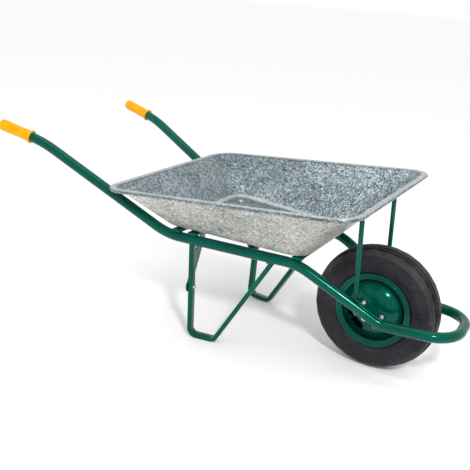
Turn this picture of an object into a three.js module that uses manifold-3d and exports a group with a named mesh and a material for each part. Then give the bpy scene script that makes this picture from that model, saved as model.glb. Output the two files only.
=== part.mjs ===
// A builder's wheelbarrow: one bent tube runs from the right grip under the tray,
// round the front of the wheel and back to the left grip. Legs, cross bars and stays
// hang on that tube, the galvanised tray is bolted to the cross bars, and the wheel
// turns on ball bearings on a fixed axle.
// Millimetres. +X is forward (towards the wheel), +Y is the user's left, +Z is up.
// While it is built, x = 0 is the middle of the tray rim; the last lines move the
// whole barrow so that its origin lies on the ground under its middle.

import * as THREE from 'three';
import { mergeVertices } from 'three/addons/utils/BufferGeometryUtils.js';
import Module from 'manifold-3d';

const wasm = await Module();
wasm.setup();

// ---------------------------------------------------------------- driving sizes

const GAP = 0.3;                    // between pieces that touch

// tray
const trayLength = 850;             // over the rolled edge, along the rim
const trayWidth = 730;
const rimHeight = 535;              // of the rim plane at x = 0
const rimPitch = THREE.MathUtils.degToRad(5.3);   // the rim rises towards the wheel
const sheet = 1.5;
const rearRun = 170;                // rim edge to floor edge, measured level
const frontRun = 211;
const sideRunRear = 133;
const sideRunFront = 177;
const rimCorner = 62;
const floorCorner = 52;
const floorFold = 14;
const rimFold = 7;
const flangeWidth = 13;
const beadRadius = 6;
const wirePlay = 0.4;               // the wire's extra room inside the faceted bead
const cornerSteps = 6;

// tube
const tubeRadius = 16.5;
const tubeWall = 2;
const railHeight = 344.4;           // tube centre at x = 0
const railFall = 0.0291;            // drop per mm forward
const halfSpacing = 202.2;          // tube centre to the middle plane, at x = 0
const splay = Math.atan(0.1553);    // each side runs in towards the wheel
const rearBendAhead = 14;           // the rail's bends, measured from the floor's edges
const frontBendBack = 22;
const handleRise = THREE.MathUtils.degToRad(26.6);
const gripRise = THREE.MathUtils.degToRad(12.9);
const handleReach = 468;            // level, from the rail's bend to the grip's bend
const gripReach = 157;              // level, from the grip's bend to the tube's end
const gripBend = 400;               // bend radii of the tube's centre line
const rearBend = 215;
const frontBend = 180;
const dropBend = 100;
const loopBend = 92;
const loopClearance = 68;           // tyre to the tube's centre, in front

// grips
const gripLength = 118;
const gripEnd = 14;                 // rounded nose behind the tube's end
const gripWall = 2.3;
const collarRadius = 23;
const collarLength = 4;
const collarSlope = 3;

// wheel
const wheelRadius = 200;
const tyreWidth = 110;
const wheelUnderFloor = 11;         // tyre's rear edge behind the floor's front edge
const beadSeat = 102;
const flangeRadius = 121;
const rimHalfWidth = 47;
const rimSheet = 2.5;
const discRadius = 92;
const hubRadius = 19;
const hubHalfLength = 62;
const axleRadius = 7.5;
const axleEndRadius = 6;
const bearingRadius = 16;
const bearingWidth = 9;
const spacerRadius = 10.5;
const axleNutRadius = 11;
const axleNutHeight = 10;
const wellHalfWidth = 21;
const discEdge = 28;                // disc's rim from the wheel's middle plane
const discSheet = 2;
const tubeSkin = 2.2;
const valveRadius = 4.2;
const openingRadius = 68;           // middle of the valve opening in the disc
const discOpening = 34;
const openingAngle = THREE.MathUtils.degToRad(40);
const wheelSteps = 28;
const valveAngle = 1.5 * Math.PI - 4 * 2 * Math.PI / wheelSteps;   // on a flat of the rim

// bars, legs and stays
const barThickness = 8;
const barWidth = 30;
const barOverhang = 10;             // beyond the tube's centre
const rearBarAhead = 47;            // rear bar's middle ahead of the floor's rear edge
const legBarAhead = 55;             // leg bar's middle ahead of the rear bar's
const frontBarBack = 24;            // front bar's middle behind the floor's front edge
const trayBoltIn = { rear_cross_bar: 56.4, front_cross_bar: 60.7 };   // from floor's edge
const legWidth = 25;                // the legs are bent from rectangular tube
const legOverlap = 9;               // tops end this far below the tube's centre and are coped
const legThickness = 15;
const legWall = 2;
const legBend = 24;
const legLean = THREE.MathUtils.degToRad(3);    // inwards, about the rail
const footLength = 87;
const strutReach = 182;             // level, from the foot's front to the rail
const braceWidth = 40;
const braceThickness = 4;
const braceBoltHeight = 184;
const braceTopIn = 112;             // brace's top, inwards of its bolt
const braceTab = 36;                // turned forward under the leg bar
const stayRadius = 7.5;
const stayFlatWidth = 22;
const stayFlat = 4;
const stayTopBack = 41.3;           // stay's top behind the tray's front rim fold
const stayFootBack = 26;            // stay's foot corner behind its bolt
const stayTabReach = 22;            // stay's top corner to its bolt
const stayTabEnd = 12;              // flattened end beyond either bolt
const bracketSheet = 4;
const bracketBoltPitch = 67;
const bracketAhead = 5.5;           // middle of its two bolts ahead of the axle
const bracketEnd = 13;              // bracket beyond either bolt
const lugInside = 100;              // inner face of the bracket's lug to the middle plane
const lugRadius = 14;
const bracketOutside = 15;          // flange beyond the tube's centre
const axleDrop = 26.8;              // axle centre to tube centre, square to the tube

// fasteners
const boltRadius = 4;
const holeClearance = 0.5;
const nutRadius = 7.5;
const nutHeight = 6.5;
const hexHeadHeight = 5.3;
const cupRadius = 9;
const cupHeight = 4;
const cupHeightUnderTube = 3.5;
const threadShown = 4;              // the shank's end beyond its nut

// ------------------------------------------------------------------- materials

const paint = (colour, roughness, metalness) =>
  new THREE.MeshStandardMaterial({ color: colour, roughness, metalness });
const greenPaint = paint(0x0a6650, 0.3, 0.2);
const galvanised = paint(0xa9b0b0, 0.45, 0.9);
const zinc = paint(0xbcc0c2, 0.35, 0.9);
const brightSteel = paint(0x9a9c9f, 0.3, 1);
const tyreRubber = paint(0x3a3740, 0.75, 0);
const tubeRubber = paint(0x2a2627, 0.8, 0);
const yellowPlastic = paint(0xffbe0a, 0.5, 0);

// --------------------------------------------------------------------- solids

function solidOf(geometry) {
  const bare = geometry.clone();
  for (const name of Object.keys(bare.attributes)) {
    if (name !== 'position') bare.deleteAttribute(name);
  }
  const merged = mergeVertices(bare, 1e-4);
  return new wasm.Manifold(new wasm.Mesh({
    numProp: 3,
    vertProperties: new Float32Array(merged.attributes.position.array),
    triVerts: new Uint32Array(merged.index.array),
  }));
}

function geometryOf(solid) {
  const mesh = solid.getMesh();
  const geometry = new THREE.BufferGeometry();
  geometry.setAttribute('position', new THREE.BufferAttribute(mesh.vertProperties, 3));
  geometry.setIndex(new THREE.BufferAttribute(mesh.triVerts, 1));
  return geometry;
}

const cut = (geometry, tools) =>
  geometryOf(tools.reduce((left, tool) => left.subtract(solidOf(tool)), solidOf(geometry)));
const join = (geometries) =>
  geometryOf(geometries.map(solidOf).reduce((left, right) => left.add(right)));

// A round cutter or rod along local Z. `clear` keeps its flats outside the radius.
function rod(radius, length, sides = 12, clear = false) {
  const outer = clear ? radius / Math.cos(Math.PI / sides) : radius;
  return new THREE.CylinderGeometry(outer, outer, length, sides).rotateX(Math.PI / 2);
}

const boltHole = (length) => rod(boltRadius + holeClearance, length, 10, true);
const box = (x, y, z) => new THREE.BoxGeometry(x, y, z);

// ------------------------------------------------------------- paths and lofts

// Points along a polyline whose inner corners are rounded; the tangent goes with each.
function roundedPath(points, radii, steps = 4) {
  const stations = [];
  points.forEach((point, index) => {
    const before = points[index - 1];
    const after = points[index + 1];
    if (!before || !after) {
      const tangent = before ? point.clone().sub(before) : after.clone().sub(point);
      stations.push({ point: point.clone(), tangent: tangent.normalize() });
      return;
    }
    const back = before.clone().sub(point).normalize();
    const ahead = after.clone().sub(point).normalize();
    const half = back.angleTo(ahead) / 2;
    const radius = radii[index];
    const reach = radius / Math.tan(half);
    const centre = back.clone().add(ahead).normalize()
      .multiplyScalar(radius / Math.sin(half)).add(point);
    const start = back.clone().multiplyScalar(reach).add(point).sub(centre);
    const turn = Math.PI - 2 * half;
    const axis = back.clone().cross(ahead).normalize().negate();
    const count = Math.max(2, Math.round(turn * steps));
    for (let step = 0; step <= count; step += 1) {
      const angle = turn * step / count;
      stations.push({
        point: start.clone().applyAxisAngle(axis, angle).add(centre),
        tangent: back.clone().negate().applyAxisAngle(axis, angle),
      });
    }
  });
  return stations;
}

// A curve that gives its stations back one by one, so straight runs need no extra steps.
class StationCurve extends THREE.Curve {
  constructor(stations) {
    super();
    this.stations = stations;
  }

  stationAt(u) {
    return this.stations[Math.round(u * (this.stations.length - 1))];
  }

  getPoint(t, target = new THREE.Vector3()) {
    return target.copy(this.stationAt(t).point);
  }

  getPointAt(u, target = new THREE.Vector3()) {
    return target.copy(this.stationAt(u).point);
  }

  getTangentAt(u, target = new THREE.Vector3()) {
    return target.copy(this.stationAt(u).tangent);
  }
}

function bentTube(stations, outer, inner, curveSegments = 6) {
  const section = new THREE.Shape().absarc(0, 0, outer, 0, Math.PI * 2);
  if (inner) section.holes.push(new THREE.Path().absarc(0, 0, inner, 0, Math.PI * 2, true));
  return new THREE.ExtrudeGeometry(section, {
    steps: stations.length - 1, curveSegments, extrudePath: new StationCurve(stations),
  });
}

// A flat strip bent on edge: its side outline follows the path, and it is `width` wide.
function bentStrip(points, radii, thickness, width) {
  const stations = roundedPath(points.map(([x, z]) => new THREE.Vector3(x, z, 0)), radii, 5);
  const edge = (sign) => stations.map(({ point, tangent }) => new THREE.Vector2(
    point.x - sign * tangent.y * thickness / 2, point.y + sign * tangent.x * thickness / 2));
  const outline = new THREE.Shape([...edge(-1), ...edge(1).reverse()]);
  return new THREE.ExtrudeGeometry(outline, { depth: width, bevelEnabled: false })
    .translate(0, 0, -width / 2).rotateX(Math.PI / 2);
}

// Rings of equally many points, skinned in order. Open lofts get a cap at each end.
function loft(rings, closed = false) {
  const count = rings[0].length;
  const positions = rings.flat().flatMap((point) => [point.x, point.y, point.z]);
  const index = [];
  const last = closed ? rings.length : rings.length - 1;
  for (let row = 0; row < last; row += 1) {
    const next = (row + 1) % rings.length;
    for (let i = 0; i < count; i += 1) {
      const j = (i + 1) % count;
      index.push(row * count + i, row * count + j, next * count + j);
      index.push(row * count + i, next * count + j, next * count + i);
    }
  }
  if (!closed) {
    for (const [row, flip] of [[0, true], [rings.length - 1, false]]) {
      const middle = rings[row].reduce((sum, point) => sum.add(point), new THREE.Vector3())
        .divideScalar(count);
      const centre = positions.push(middle.x, middle.y, middle.z) / 3 - 1;
      for (let i = 0; i < count; i += 1) {
        const j = (i + 1) % count;
        const pair = flip ? [j, i] : [i, j];
        index.push(row * count + pair[0], row * count + pair[1], centre);
      }
    }
  }
  const geometry = new THREE.BufferGeometry();
  geometry.setAttribute('position', new THREE.Float32BufferAttribute(positions, 3));
  geometry.setIndex(index);
  return geometry;
}

// ------------------------------------------------------------------- assembly

const wheelbarrow = new THREE.Group();

function place(name, geometry, material, matrix) {
  const mesh = new THREE.Mesh(geometry, material);
  mesh.name = name;
  if (matrix) mesh.applyMatrix4(matrix);
  wheelbarrow.add(mesh);
}

const sides = [['right', -1], ['left', 1]];
const translation = (x, y, z) => new THREE.Matrix4().makeTranslation(x, y, z);
const rotationX = (angle) => new THREE.Matrix4().makeRotationX(angle);
const rotationY = (angle) => new THREE.Matrix4().makeRotationY(angle);
const rotationZ = (angle) => new THREE.Matrix4().makeRotationZ(angle);
const chain = (...matrices) =>
  matrices.reduce((left, right) => left.multiply(right), new THREE.Matrix4());

// ----------------------------------------------------------- the rails' layout

const floorRear = -trayLength / 2 + rearRun;
const floorFront = trayLength / 2 - frontRun;
const axleX = floorFront - wheelUnderFloor + wheelRadius;
const axleZ = wheelRadius;
const railRearX = floorRear + rearBendAhead;
const railFrontX = floorFront - frontBendBack;
const railZ = (x) => railHeight - railFall * x;
const spacingAt = (x) => halfSpacing - Math.tan(splay) * x;

// The front run of the tube falls past the axle and turns level at the axle's height.
const fromBend = new THREE.Vector2(axleX - railFrontX, railZ(railFrontX) - axleZ);
const dropAngle = fromBend.angle() - Math.asin(axleDrop / fromBend.length());
const armX = railFrontX + fromBend.y / Math.tan(dropAngle);
const loopX = axleX + wheelRadius + loopClearance;

const handleX = railRearX - handleReach;
const handleZ = railZ(railRearX) + handleReach * Math.tan(handleRise);
const tubeEndX = handleX - gripReach;
const tubeEndZ = handleZ + gripReach * Math.tan(gripRise);

const sideRoute = [
  [tubeEndX, tubeEndZ], [handleX, handleZ], [railRearX, railZ(railRearX)],
  [railFrontX, railZ(railFrontX)], [armX, axleZ], [loopX, axleZ],
];
const onSide = (side, x, z) => new THREE.Vector3(x, side * spacingAt(x), z);
const rightRoute = sideRoute.map(([x, z]) => onSide(-1, x, z));
const leftRoute = sideRoute.map(([x, z]) => onSide(1, x, z)).reverse();
const routeBends = [0, gripBend, rearBend, frontBend, dropBend, loopBend];
const tubeStations = roundedPath([...rightRoute, ...leftRoute],
  [...routeBends, ...[...routeBends].reverse()], 6);

// Frame of one side: x runs forward along the rail in plan, y inwards or outwards, z up.
const sideFrame = (side) => chain(translation(0, side * halfSpacing, 0), rotationZ(-side * splay));
const along = (x) => x / Math.cos(splay);

// In that frame the falling run has its own slope; `a` is measured along it from the axle.
const sideDrop = Math.atan(Math.tan(dropAngle) * Math.cos(splay));
const dropFoot = [along(axleX) + Math.sin(sideDrop) * axleDrop, axleZ + Math.cos(sideDrop) * axleDrop];
const onDrop = (a, up) => [
  dropFoot[0] + a * Math.cos(sideDrop) + up * Math.sin(sideDrop),
  dropFoot[1] - a * Math.sin(sideDrop) + up * Math.cos(sideDrop),
];
const dropFrame = (side, a, up) => {
  const [x, z] = onDrop(a, up);
  return chain(sideFrame(side), translation(x, 0, z), rotationY(sideDrop));
};

// ------------------------------------------------------------------ frame tube

const bracketBolts = [bracketAhead - bracketBoltPitch / 2, bracketAhead + bracketBoltPitch / 2];

const tubeHoles = sides.flatMap(([, side]) => bracketBolts.map((a) =>
  boltHole(4 * tubeRadius).applyMatrix4(dropFrame(side, a, 0))));
place('frame_tube',
  cut(bentTube(tubeStations, tubeRadius, tubeRadius - tubeWall), tubeHoles), greenPaint);

// What the tube needs to itself; everything that sits on it is coped to this.
const tubeRoom = bentTube(tubeStations, tubeRadius + GAP);

// ----------------------------------------------------------------------- grips

const gripAngle = Math.atan(Math.tan(gripRise) * Math.cos(splay));
const gripSteps = 16;
const gripBore = (tubeRadius + GAP) / Math.cos(Math.PI / gripSteps);
const gripOuter = gripBore + gripWall;
const nose = [0, 0.35, 0.7, 0.9, 1].map((share) => {
  const angle = share * Math.PI / 2;
  return new THREE.Vector2(gripOuter * Math.sin(angle), -gripEnd * Math.cos(angle));
});
const gripProfile = [
  ...nose,
  new THREE.Vector2(gripOuter, gripLength - collarLength - collarSlope),
  new THREE.Vector2(collarRadius, gripLength - collarLength),
  new THREE.Vector2(collarRadius, gripLength), new THREE.Vector2(gripBore, gripLength),
  new THREE.Vector2(gripBore, -GAP), new THREE.Vector2(0, -GAP),
];
for (const [hand, side] of sides) {
  const grip = new THREE.LatheGeometry(gripProfile, gripSteps).rotateZ(-Math.PI / 2);
  place(`${hand}_grip`, grip, yellowPlastic,
    chain(sideFrame(side), translation(along(tubeEndX), 0, tubeEndZ), rotationY(gripAngle)));
}

// ------------------------------------------------------------------ cross bars

// The deck lies on top of both rails and slopes with them; z = 0 is the bars' underside.
const deckAngle = Math.atan(railFall);
const deckLift = tubeRadius + GAP;
const deck = chain(translation(0, 0, railHeight), rotationY(deckAngle), translation(0, 0, deckLift));
const rearBarX = floorRear + rearBarAhead;
const bars = {
  rear_cross_bar: rearBarX,
  leg_cross_bar: rearBarX + legBarAhead,
  front_cross_bar: floorFront - frontBarBack,
};
const floorHalfAt = (x) => THREE.MathUtils.mapLinear(x, floorRear, floorFront,
  trayWidth / 2 - sideRunRear, trayWidth / 2 - sideRunFront);
const trayBoltAt = (name, side) =>
  chain(deck, translation(bars[name], side * (floorHalfAt(bars[name]) - trayBoltIn[name]), 0));
const trayHoles = Object.keys(trayBoltIn).flatMap((name) =>
  [-1, 1].map((side) => boltHole(60).applyMatrix4(trayBoltAt(name, side))));
for (const [name, x] of Object.entries(bars)) {
  const bar = box(barWidth, 2 * (spacingAt(x) + barOverhang), barThickness)
    .applyMatrix4(chain(deck, translation(x, 0, barThickness / 2)));
  place(name, cut(bar, [tubeRoom, ...trayHoles]), greenPaint);
}

// ------------------------------------------------------------------------ tray

// An outline with rounded corners, as points with the direction that faces outwards.
function roundedOutline(corners, radius, steps) {
  const points = [];
  corners.forEach((corner, index) => {
    const before = corners[(index + 3) % 4];
    const after = corners[(index + 1) % 4];
    const inward = corner.clone().sub(before).normalize();
    const outward = after.clone().sub(corner).normalize();
    const first = new THREE.Vector2(inward.y, -inward.x);
    const turn = Math.acos(THREE.MathUtils.clamp(inward.dot(outward), -1, 1));
    const reach = radius * Math.tan(turn / 2);
    const centre = corner.clone().addScaledVector(inward, -reach).addScaledVector(first, -radius);
    for (let step = 0; step <= steps; step += 1) {
      const normal = first.clone().rotateAround(new THREE.Vector2(), turn * step / steps);
      points.push({ at: centre.clone().addScaledVector(normal, radius), normal });
    }
  });
  return points;
}

const quadrilateral = (rear, front, rearHalf, frontHalf) => [
  new THREE.Vector2(rear, -rearHalf), new THREE.Vector2(front, -frontHalf),
  new THREE.Vector2(front, frontHalf), new THREE.Vector2(rear, rearHalf),
];
const rimEdge = flangeWidth + beadRadius;
const rimHalfLength = trayLength / 2 - rimEdge;
const rimHalfWidthAcross = trayWidth / 2 - rimEdge;
const rimOutline = roundedOutline(
  quadrilateral(-rimHalfLength, rimHalfLength, rimHalfWidthAcross, rimHalfWidthAcross),
  rimCorner, cornerSteps);
const floorOutline = roundedOutline(
  quadrilateral(floorRear, floorFront, floorHalfAt(floorRear), floorHalfAt(floorFront)),
  floorCorner, cornerSteps);

const floorTop = railHeight + (deckLift + barThickness + GAP + sheet) / Math.cos(deckAngle);
const floorPoint = ({ x, y }) => new THREE.Vector3(x, y, floorTop - railFall * x);
const floorWay = ({ x, y }) => new THREE.Vector3(x, y, -railFall * x);
const rimPoint = ({ x, y }) => new THREE.Vector3(
  x * Math.cos(rimPitch), y, rimHeight + x * Math.sin(rimPitch));
const rimWay = ({ x, y }) => new THREE.Vector3(x * Math.cos(rimPitch), y, x * Math.sin(rimPitch));
const rimUp = new THREE.Vector3(-Math.sin(rimPitch), 0, Math.cos(rimPitch));

const bend = (from, over, to, share) => from.clone().multiplyScalar((1 - share) ** 2)
  .addScaledVector(over, 2 * share * (1 - share)).addScaledVector(to, share ** 2);
const curlAngles = [90, 45, 0, -45, -90, -135, -180, -225].map(THREE.MathUtils.degToRad);

// The upper face of the sheet at one point of the outline, from the floor out to the curl.
function sheetProfile(index) {
  const floor = floorPoint(floorOutline[index].at);
  const floorOut = floorWay(floorOutline[index].normal);
  const rim = rimPoint(rimOutline[index].at);
  const rimOut = rimWay(rimOutline[index].normal);
  const wall = rim.clone().sub(floor).normalize();
  const inFloor = floor.clone().addScaledVector(floorOut, -floorFold);
  const onWall = floor.clone().addScaledVector(wall, floorFold);
  const underRim = rim.clone().addScaledVector(wall, -rimFold);
  const onFlange = rim.clone().addScaledVector(rimOut, rimFold);
  const bead = rim.clone().addScaledVector(rimOut, flangeWidth).addScaledVector(rimUp, -beadRadius);
  return [
    inFloor, bend(inFloor, floor, onWall, 0.33), bend(inFloor, floor, onWall, 0.67), onWall,
    underRim, bend(underRim, rim, onFlange, 0.5), onFlange,
    ...curlAngles.map((angle) => bead.clone()
      .addScaledVector(rimOut, beadRadius * Math.cos(angle))
      .addScaledVector(rimUp, beadRadius * Math.sin(angle))),
  ];
}

const upperRows = floorOutline.map((_, index) => sheetProfile(index));
const lowerRows = upperRows.map((row, index) => {
  const before = floorOutline[index].normal;
  const ring = new THREE.Vector3(-before.y, before.x, 0);
  return row.map((point, step) => {
    const way = (row[step + 1] ?? point).clone().sub(row[step - 1] ?? point);
    return point.clone().addScaledVector(ring.clone().cross(way).normalize(), sheet);
  });
});
const ringsOf = (rows) => rows[0].map((_, step) => rows.map((row) => row[step]));
const trayRings = [...ringsOf(lowerRows), ...ringsOf(upperRows).reverse()];

// Where the stays meet the sloping front wall, in the plane y = 0.
const wallFoot = floorPoint(new THREE.Vector2(floorFront, 0));
const wallHead = rimPoint(new THREE.Vector2(rimHalfLength, 0));
const wallWay = wallHead.clone().sub(wallFoot).normalize();
const wallOut = new THREE.Vector3(wallWay.z, 0, -wallWay.x);
const stayTopX = wallHead.x - stayTopBack;
const wallPoint = (x) => wallFoot.clone().addScaledVector(wallWay, (x - wallFoot.x) / wallWay.x);
const stayBolt = (side) => {
  const at = wallPoint(stayTopX + stayTabReach * wallWay.x);
  return chain(translation(at.x, side * spacingAt(at.x), at.z),
    rotationY(Math.PI / 2 - Math.atan2(wallOut.z, wallOut.x)));
};
const stayHoles = sides.map(([, side]) => boltHole(40).applyMatrix4(stayBolt(side)));

place('tray', cut(loft(trayRings), [...trayHoles, ...stayHoles]), galvanised);

const wireRadius = beadRadius - sheet - GAP - wirePlay;
const wireRings = rimOutline.map(({ at, normal }) => {
  const out = rimWay(normal);
  const centre = rimPoint(at).addScaledVector(out, flangeWidth).addScaledVector(rimUp, -beadRadius);
  return [5, 4, 3, 2, 1, 0].map((corner) => centre.clone()
    .addScaledVector(out, wireRadius * Math.cos(corner * Math.PI / 3))
    .addScaledVector(rimUp, wireRadius * Math.sin(corner * Math.PI / 3)));
});
place('tray_rim_wire', loft(wireRings, true), brightSteel);

// ------------------------------------------------------------------- fasteners

const shank = (length) => rod(boltRadius, length, 8).translate(0, 0, -length / 2);

// Both stand on z = 0 with the shank below.
function hexBolt(length) {
  const head = new THREE.CylinderGeometry(nutRadius, nutRadius, hexHeadHeight, 6)
    .rotateX(Math.PI / 2).translate(0, 0, hexHeadHeight / 2);
  return join([head, shank(length)]);
}

function cupBolt(length, height = cupHeight) {
  const profile = [
    [0, -length], [boltRadius, -length], [boltRadius, 0], [cupRadius, 0],
    [0.89 * cupRadius, 0.45 * height], [0.56 * cupRadius, 0.85 * height], [0, height],
  ].map(([x, y]) => new THREE.Vector2(x, y));
  return new THREE.LatheGeometry(profile, 8).rotateX(Math.PI / 2);
}

// A nut on z = 0, standing up; it clears a shank of the given radius.
function nut(radius = nutRadius, height = nutHeight, shankRadius = boltRadius) {
  const hex = new THREE.Shape([0, 1, 2, 3, 4, 5].map((corner) => new THREE.Vector2(
    radius * Math.cos(corner * Math.PI / 3), radius * Math.sin(corner * Math.PI / 3))));
  hex.holes.push(new THREE.Path().absarc(0, 0, (shankRadius + GAP) / Math.cos(Math.PI / 8),
    0, Math.PI * 2, true));
  return new THREE.ExtrudeGeometry(hex, { depth: height, bevelEnabled: false, curveSegments: 4 });
}

const flip = rotationX(Math.PI);

for (const name of Object.keys(trayBoltIn)) {
  const end = name.split('_')[0];
  const top = barThickness + sheet + 2 * GAP;
  for (const [hand, side] of sides) {
    place(`tray_bolt_${end}_${hand}`, cupBolt(top + nutHeight + threadShown), zinc,
      chain(trayBoltAt(name, side), translation(0, 0, top)));
    place(`tray_nut_${end}_${hand}`, nut(), zinc,
      chain(trayBoltAt(name, side), translation(0, 0, -GAP), flip));
  }
}

// ------------------------------------------------------------------------ legs

const legX = bars.leg_cross_bar;
const footFrontX = legX + footLength;
const strutTopX = footFrontX + strutReach;
const legTop = (x) => railZ(x) - legOverlap;

// Legs lean in below the rail; their open tops are coped to the tube and the sole is flat.
const legFrame = (side) => chain(sideFrame(side), translation(0, 0, railHeight),
  rotationX(-side * legLean), translation(0, 0, -railHeight));
const braceBoltAt = (side) => chain(legFrame(side), translation(along(legX), 0, braceBoltHeight),
  rotationY(Math.PI / 2));

const soleHeight = (legThickness - legWidth * Math.sin(legLean)) / 2
  - railHeight * (1 - Math.cos(legLean));
const legPath = [
  [along(legX), legTop(legX)], [along(legX), soleHeight],
  [along(footFrontX), soleHeight], [along(strutTopX), legTop(strutTopX)],
];
for (const [hand, side] of sides) {
  const [leg, bore] = [0, 2 * legWall].map((less) =>
    bentStrip(legPath, [0, legBend, legBend, 0], legThickness - less, legWidth - less)
      .applyMatrix4(legFrame(side)));
  const ground = box(4 * trayLength, 4 * trayWidth, 40).translate(0, 0, -20);
  const hole = boltHole(40).applyMatrix4(braceBoltAt(side));
  place(`${hand}_leg`, cut(leg, [tubeRoom, ground, bore, hole]), greenPaint);
}

// Each brace lies against the back of its leg, leans in and turns forward under the leg bar.
const braceBack = -legThickness / 2 - GAP - braceThickness;
for (const [hand, side] of sides) {
  const start = new THREE.Vector3().applyMatrix4(
    chain(sideFrame(side).invert(), braceBoltAt(side)));
  const rise = railZ(legX) + deckLift - GAP - start.z;
  const inward = -side * braceTopIn;
  const across = braceWidth / 2 * Math.hypot(braceTopIn, rise) / rise;
  const tilt = Math.atan2(rise, inward);
  const outline = new THREE.Shape();
  outline.moveTo(inward + across, rise);
  outline.lineTo(inward - across, rise);
  outline.absarc(0, 0, braceWidth / 2, tilt + Math.PI / 2, tilt + 3 * Math.PI / 2);
  const plate = new THREE.ExtrudeGeometry(outline, {
    depth: braceThickness, bevelEnabled: false, curveSegments: 10,
  }).applyMatrix4(new THREE.Matrix4().set(0, 0, 1, 0, 1, 0, 0, 0, 0, 1, 0, 0, 0, 0, 0, 1));
  plate.translate(start.x + braceBack, start.y, start.z);
  const tab = box(braceTab, 2 * across, braceThickness)
    .translate(start.x + braceBack + braceTab / 2, start.y + inward, 0)
    .applyMatrix4(chain(sideFrame(side).invert(), deck, translation(0, 0, -GAP - braceThickness / 2),
      sideFrame(side)));
  const brace = join([plate, tab]).applyMatrix4(sideFrame(side));
  const hole = boltHole(40).applyMatrix4(braceBoltAt(side));
  place(`${hand}_leg_brace`, cut(brace, [hole]), greenPaint);

  const shankLength = legThickness + braceThickness + nutHeight + 2 * GAP + threadShown - 1;
  place(`brace_bolt_${hand}`, hexBolt(shankLength), zinc,
    chain(braceBoltAt(side), translation(0, 0, legThickness / 2 + GAP)));
  place(`brace_nut_${hand}`, nut(), zinc,
    chain(braceBoltAt(side), translation(0, 0, braceBack - GAP), flip));
}

// -------------------------------------------------------------- axle brackets

// Each bracket is an angle: its flange lies on the tube's crest, its lug hangs down
// inside the tube, square to the axle.
const flangeUnder = tubeRadius + GAP;
const bracketEnds = [bracketBolts[0] - bracketEnd, bracketBolts[1] + bracketEnd];

function bracketGeometry(side) {
  const lugLine = (a, up) => {
    const [x, z] = onDrop(a, up);
    const y = (side * lugInside - side * halfSpacing + side * Math.sin(splay) * x) / Math.cos(splay);
    return { y, world: new THREE.Vector3(x, y, z).applyMatrix4(sideFrame(side)) };
  };
  const flange = new THREE.Shape([
    ...bracketEnds.map((a) => new THREE.Vector2(a, side * bracketOutside)),
    ...[...bracketEnds].reverse().map((a) => new THREE.Vector2(a, lugLine(a, flangeUnder).y)),
  ]);
  const top = new THREE.ExtrudeGeometry(flange, { depth: bracketSheet, bevelEnabled: false })
    .applyMatrix4(dropFrame(side, 0, flangeUnder));
  const [rear, front] = bracketEnds.map((a) => lugLine(a, flangeUnder + 0.6 * bracketSheet).world);
  const lug = new THREE.Shape();
  lug.moveTo(rear.x, rear.z);
  lug.lineTo(axleX - lugRadius, axleZ);
  lug.absarc(axleX, axleZ, lugRadius, Math.PI, 2 * Math.PI);
  lug.lineTo(front.x, front.z);
  const hang = new THREE.ExtrudeGeometry(lug, {
    depth: bracketSheet, bevelEnabled: false, curveSegments: 8,
  }).rotateX(Math.PI / 2).translate(0, side > 0 ? lugInside + bracketSheet : -lugInside, 0);
  const axleHole = rod(axleEndRadius + holeClearance, 4 * lugInside, 12, true)
    .rotateX(Math.PI / 2).translate(axleX, 0, axleZ);
  const boltHoles = bracketBolts.map((a) => boltHole(60).applyMatrix4(dropFrame(side, a, flangeUnder)));
  return cut(join([top, hang]), [axleHole, tubeRoom, ...boltHoles]);
}

for (const [hand, side] of sides) {
  place(`${hand}_axle_bracket`, bracketGeometry(side), greenPaint);
}

// ---------------------------------------------------------------- front stays

// Round bars, flattened and bent at both ends. Sections run from the top tab down the
// bar to the foot: a centre, the width and thickness directions, and how flat it is.
const footUp = flangeUnder + bracketSheet + GAP + stayFlat / 2;
const flatSide = [[1, 0], [0.94, 1], [0.5, 1], [0, 1], [-0.5, 1], [-0.94, 1],
  [-1, 0], [-0.94, -1], [-0.5, -1], [0, -1], [0.5, -1], [0.94, -1]];

function staySection({ centre, width, thick, flatness }) {
  return flatSide.map(([across, through], corner) => {
    const angle = corner * Math.PI / 6;
    const round = [stayRadius * Math.cos(angle), stayRadius * Math.sin(angle)];
    const flat = [across * stayFlatWidth / 2, through * stayFlat / 2];
    return centre.clone()
      .addScaledVector(width, THREE.MathUtils.lerp(round[0], flat[0], flatness))
      .addScaledVector(thick, THREE.MathUtils.lerp(round[1], flat[1], flatness));
  });
}

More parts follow.
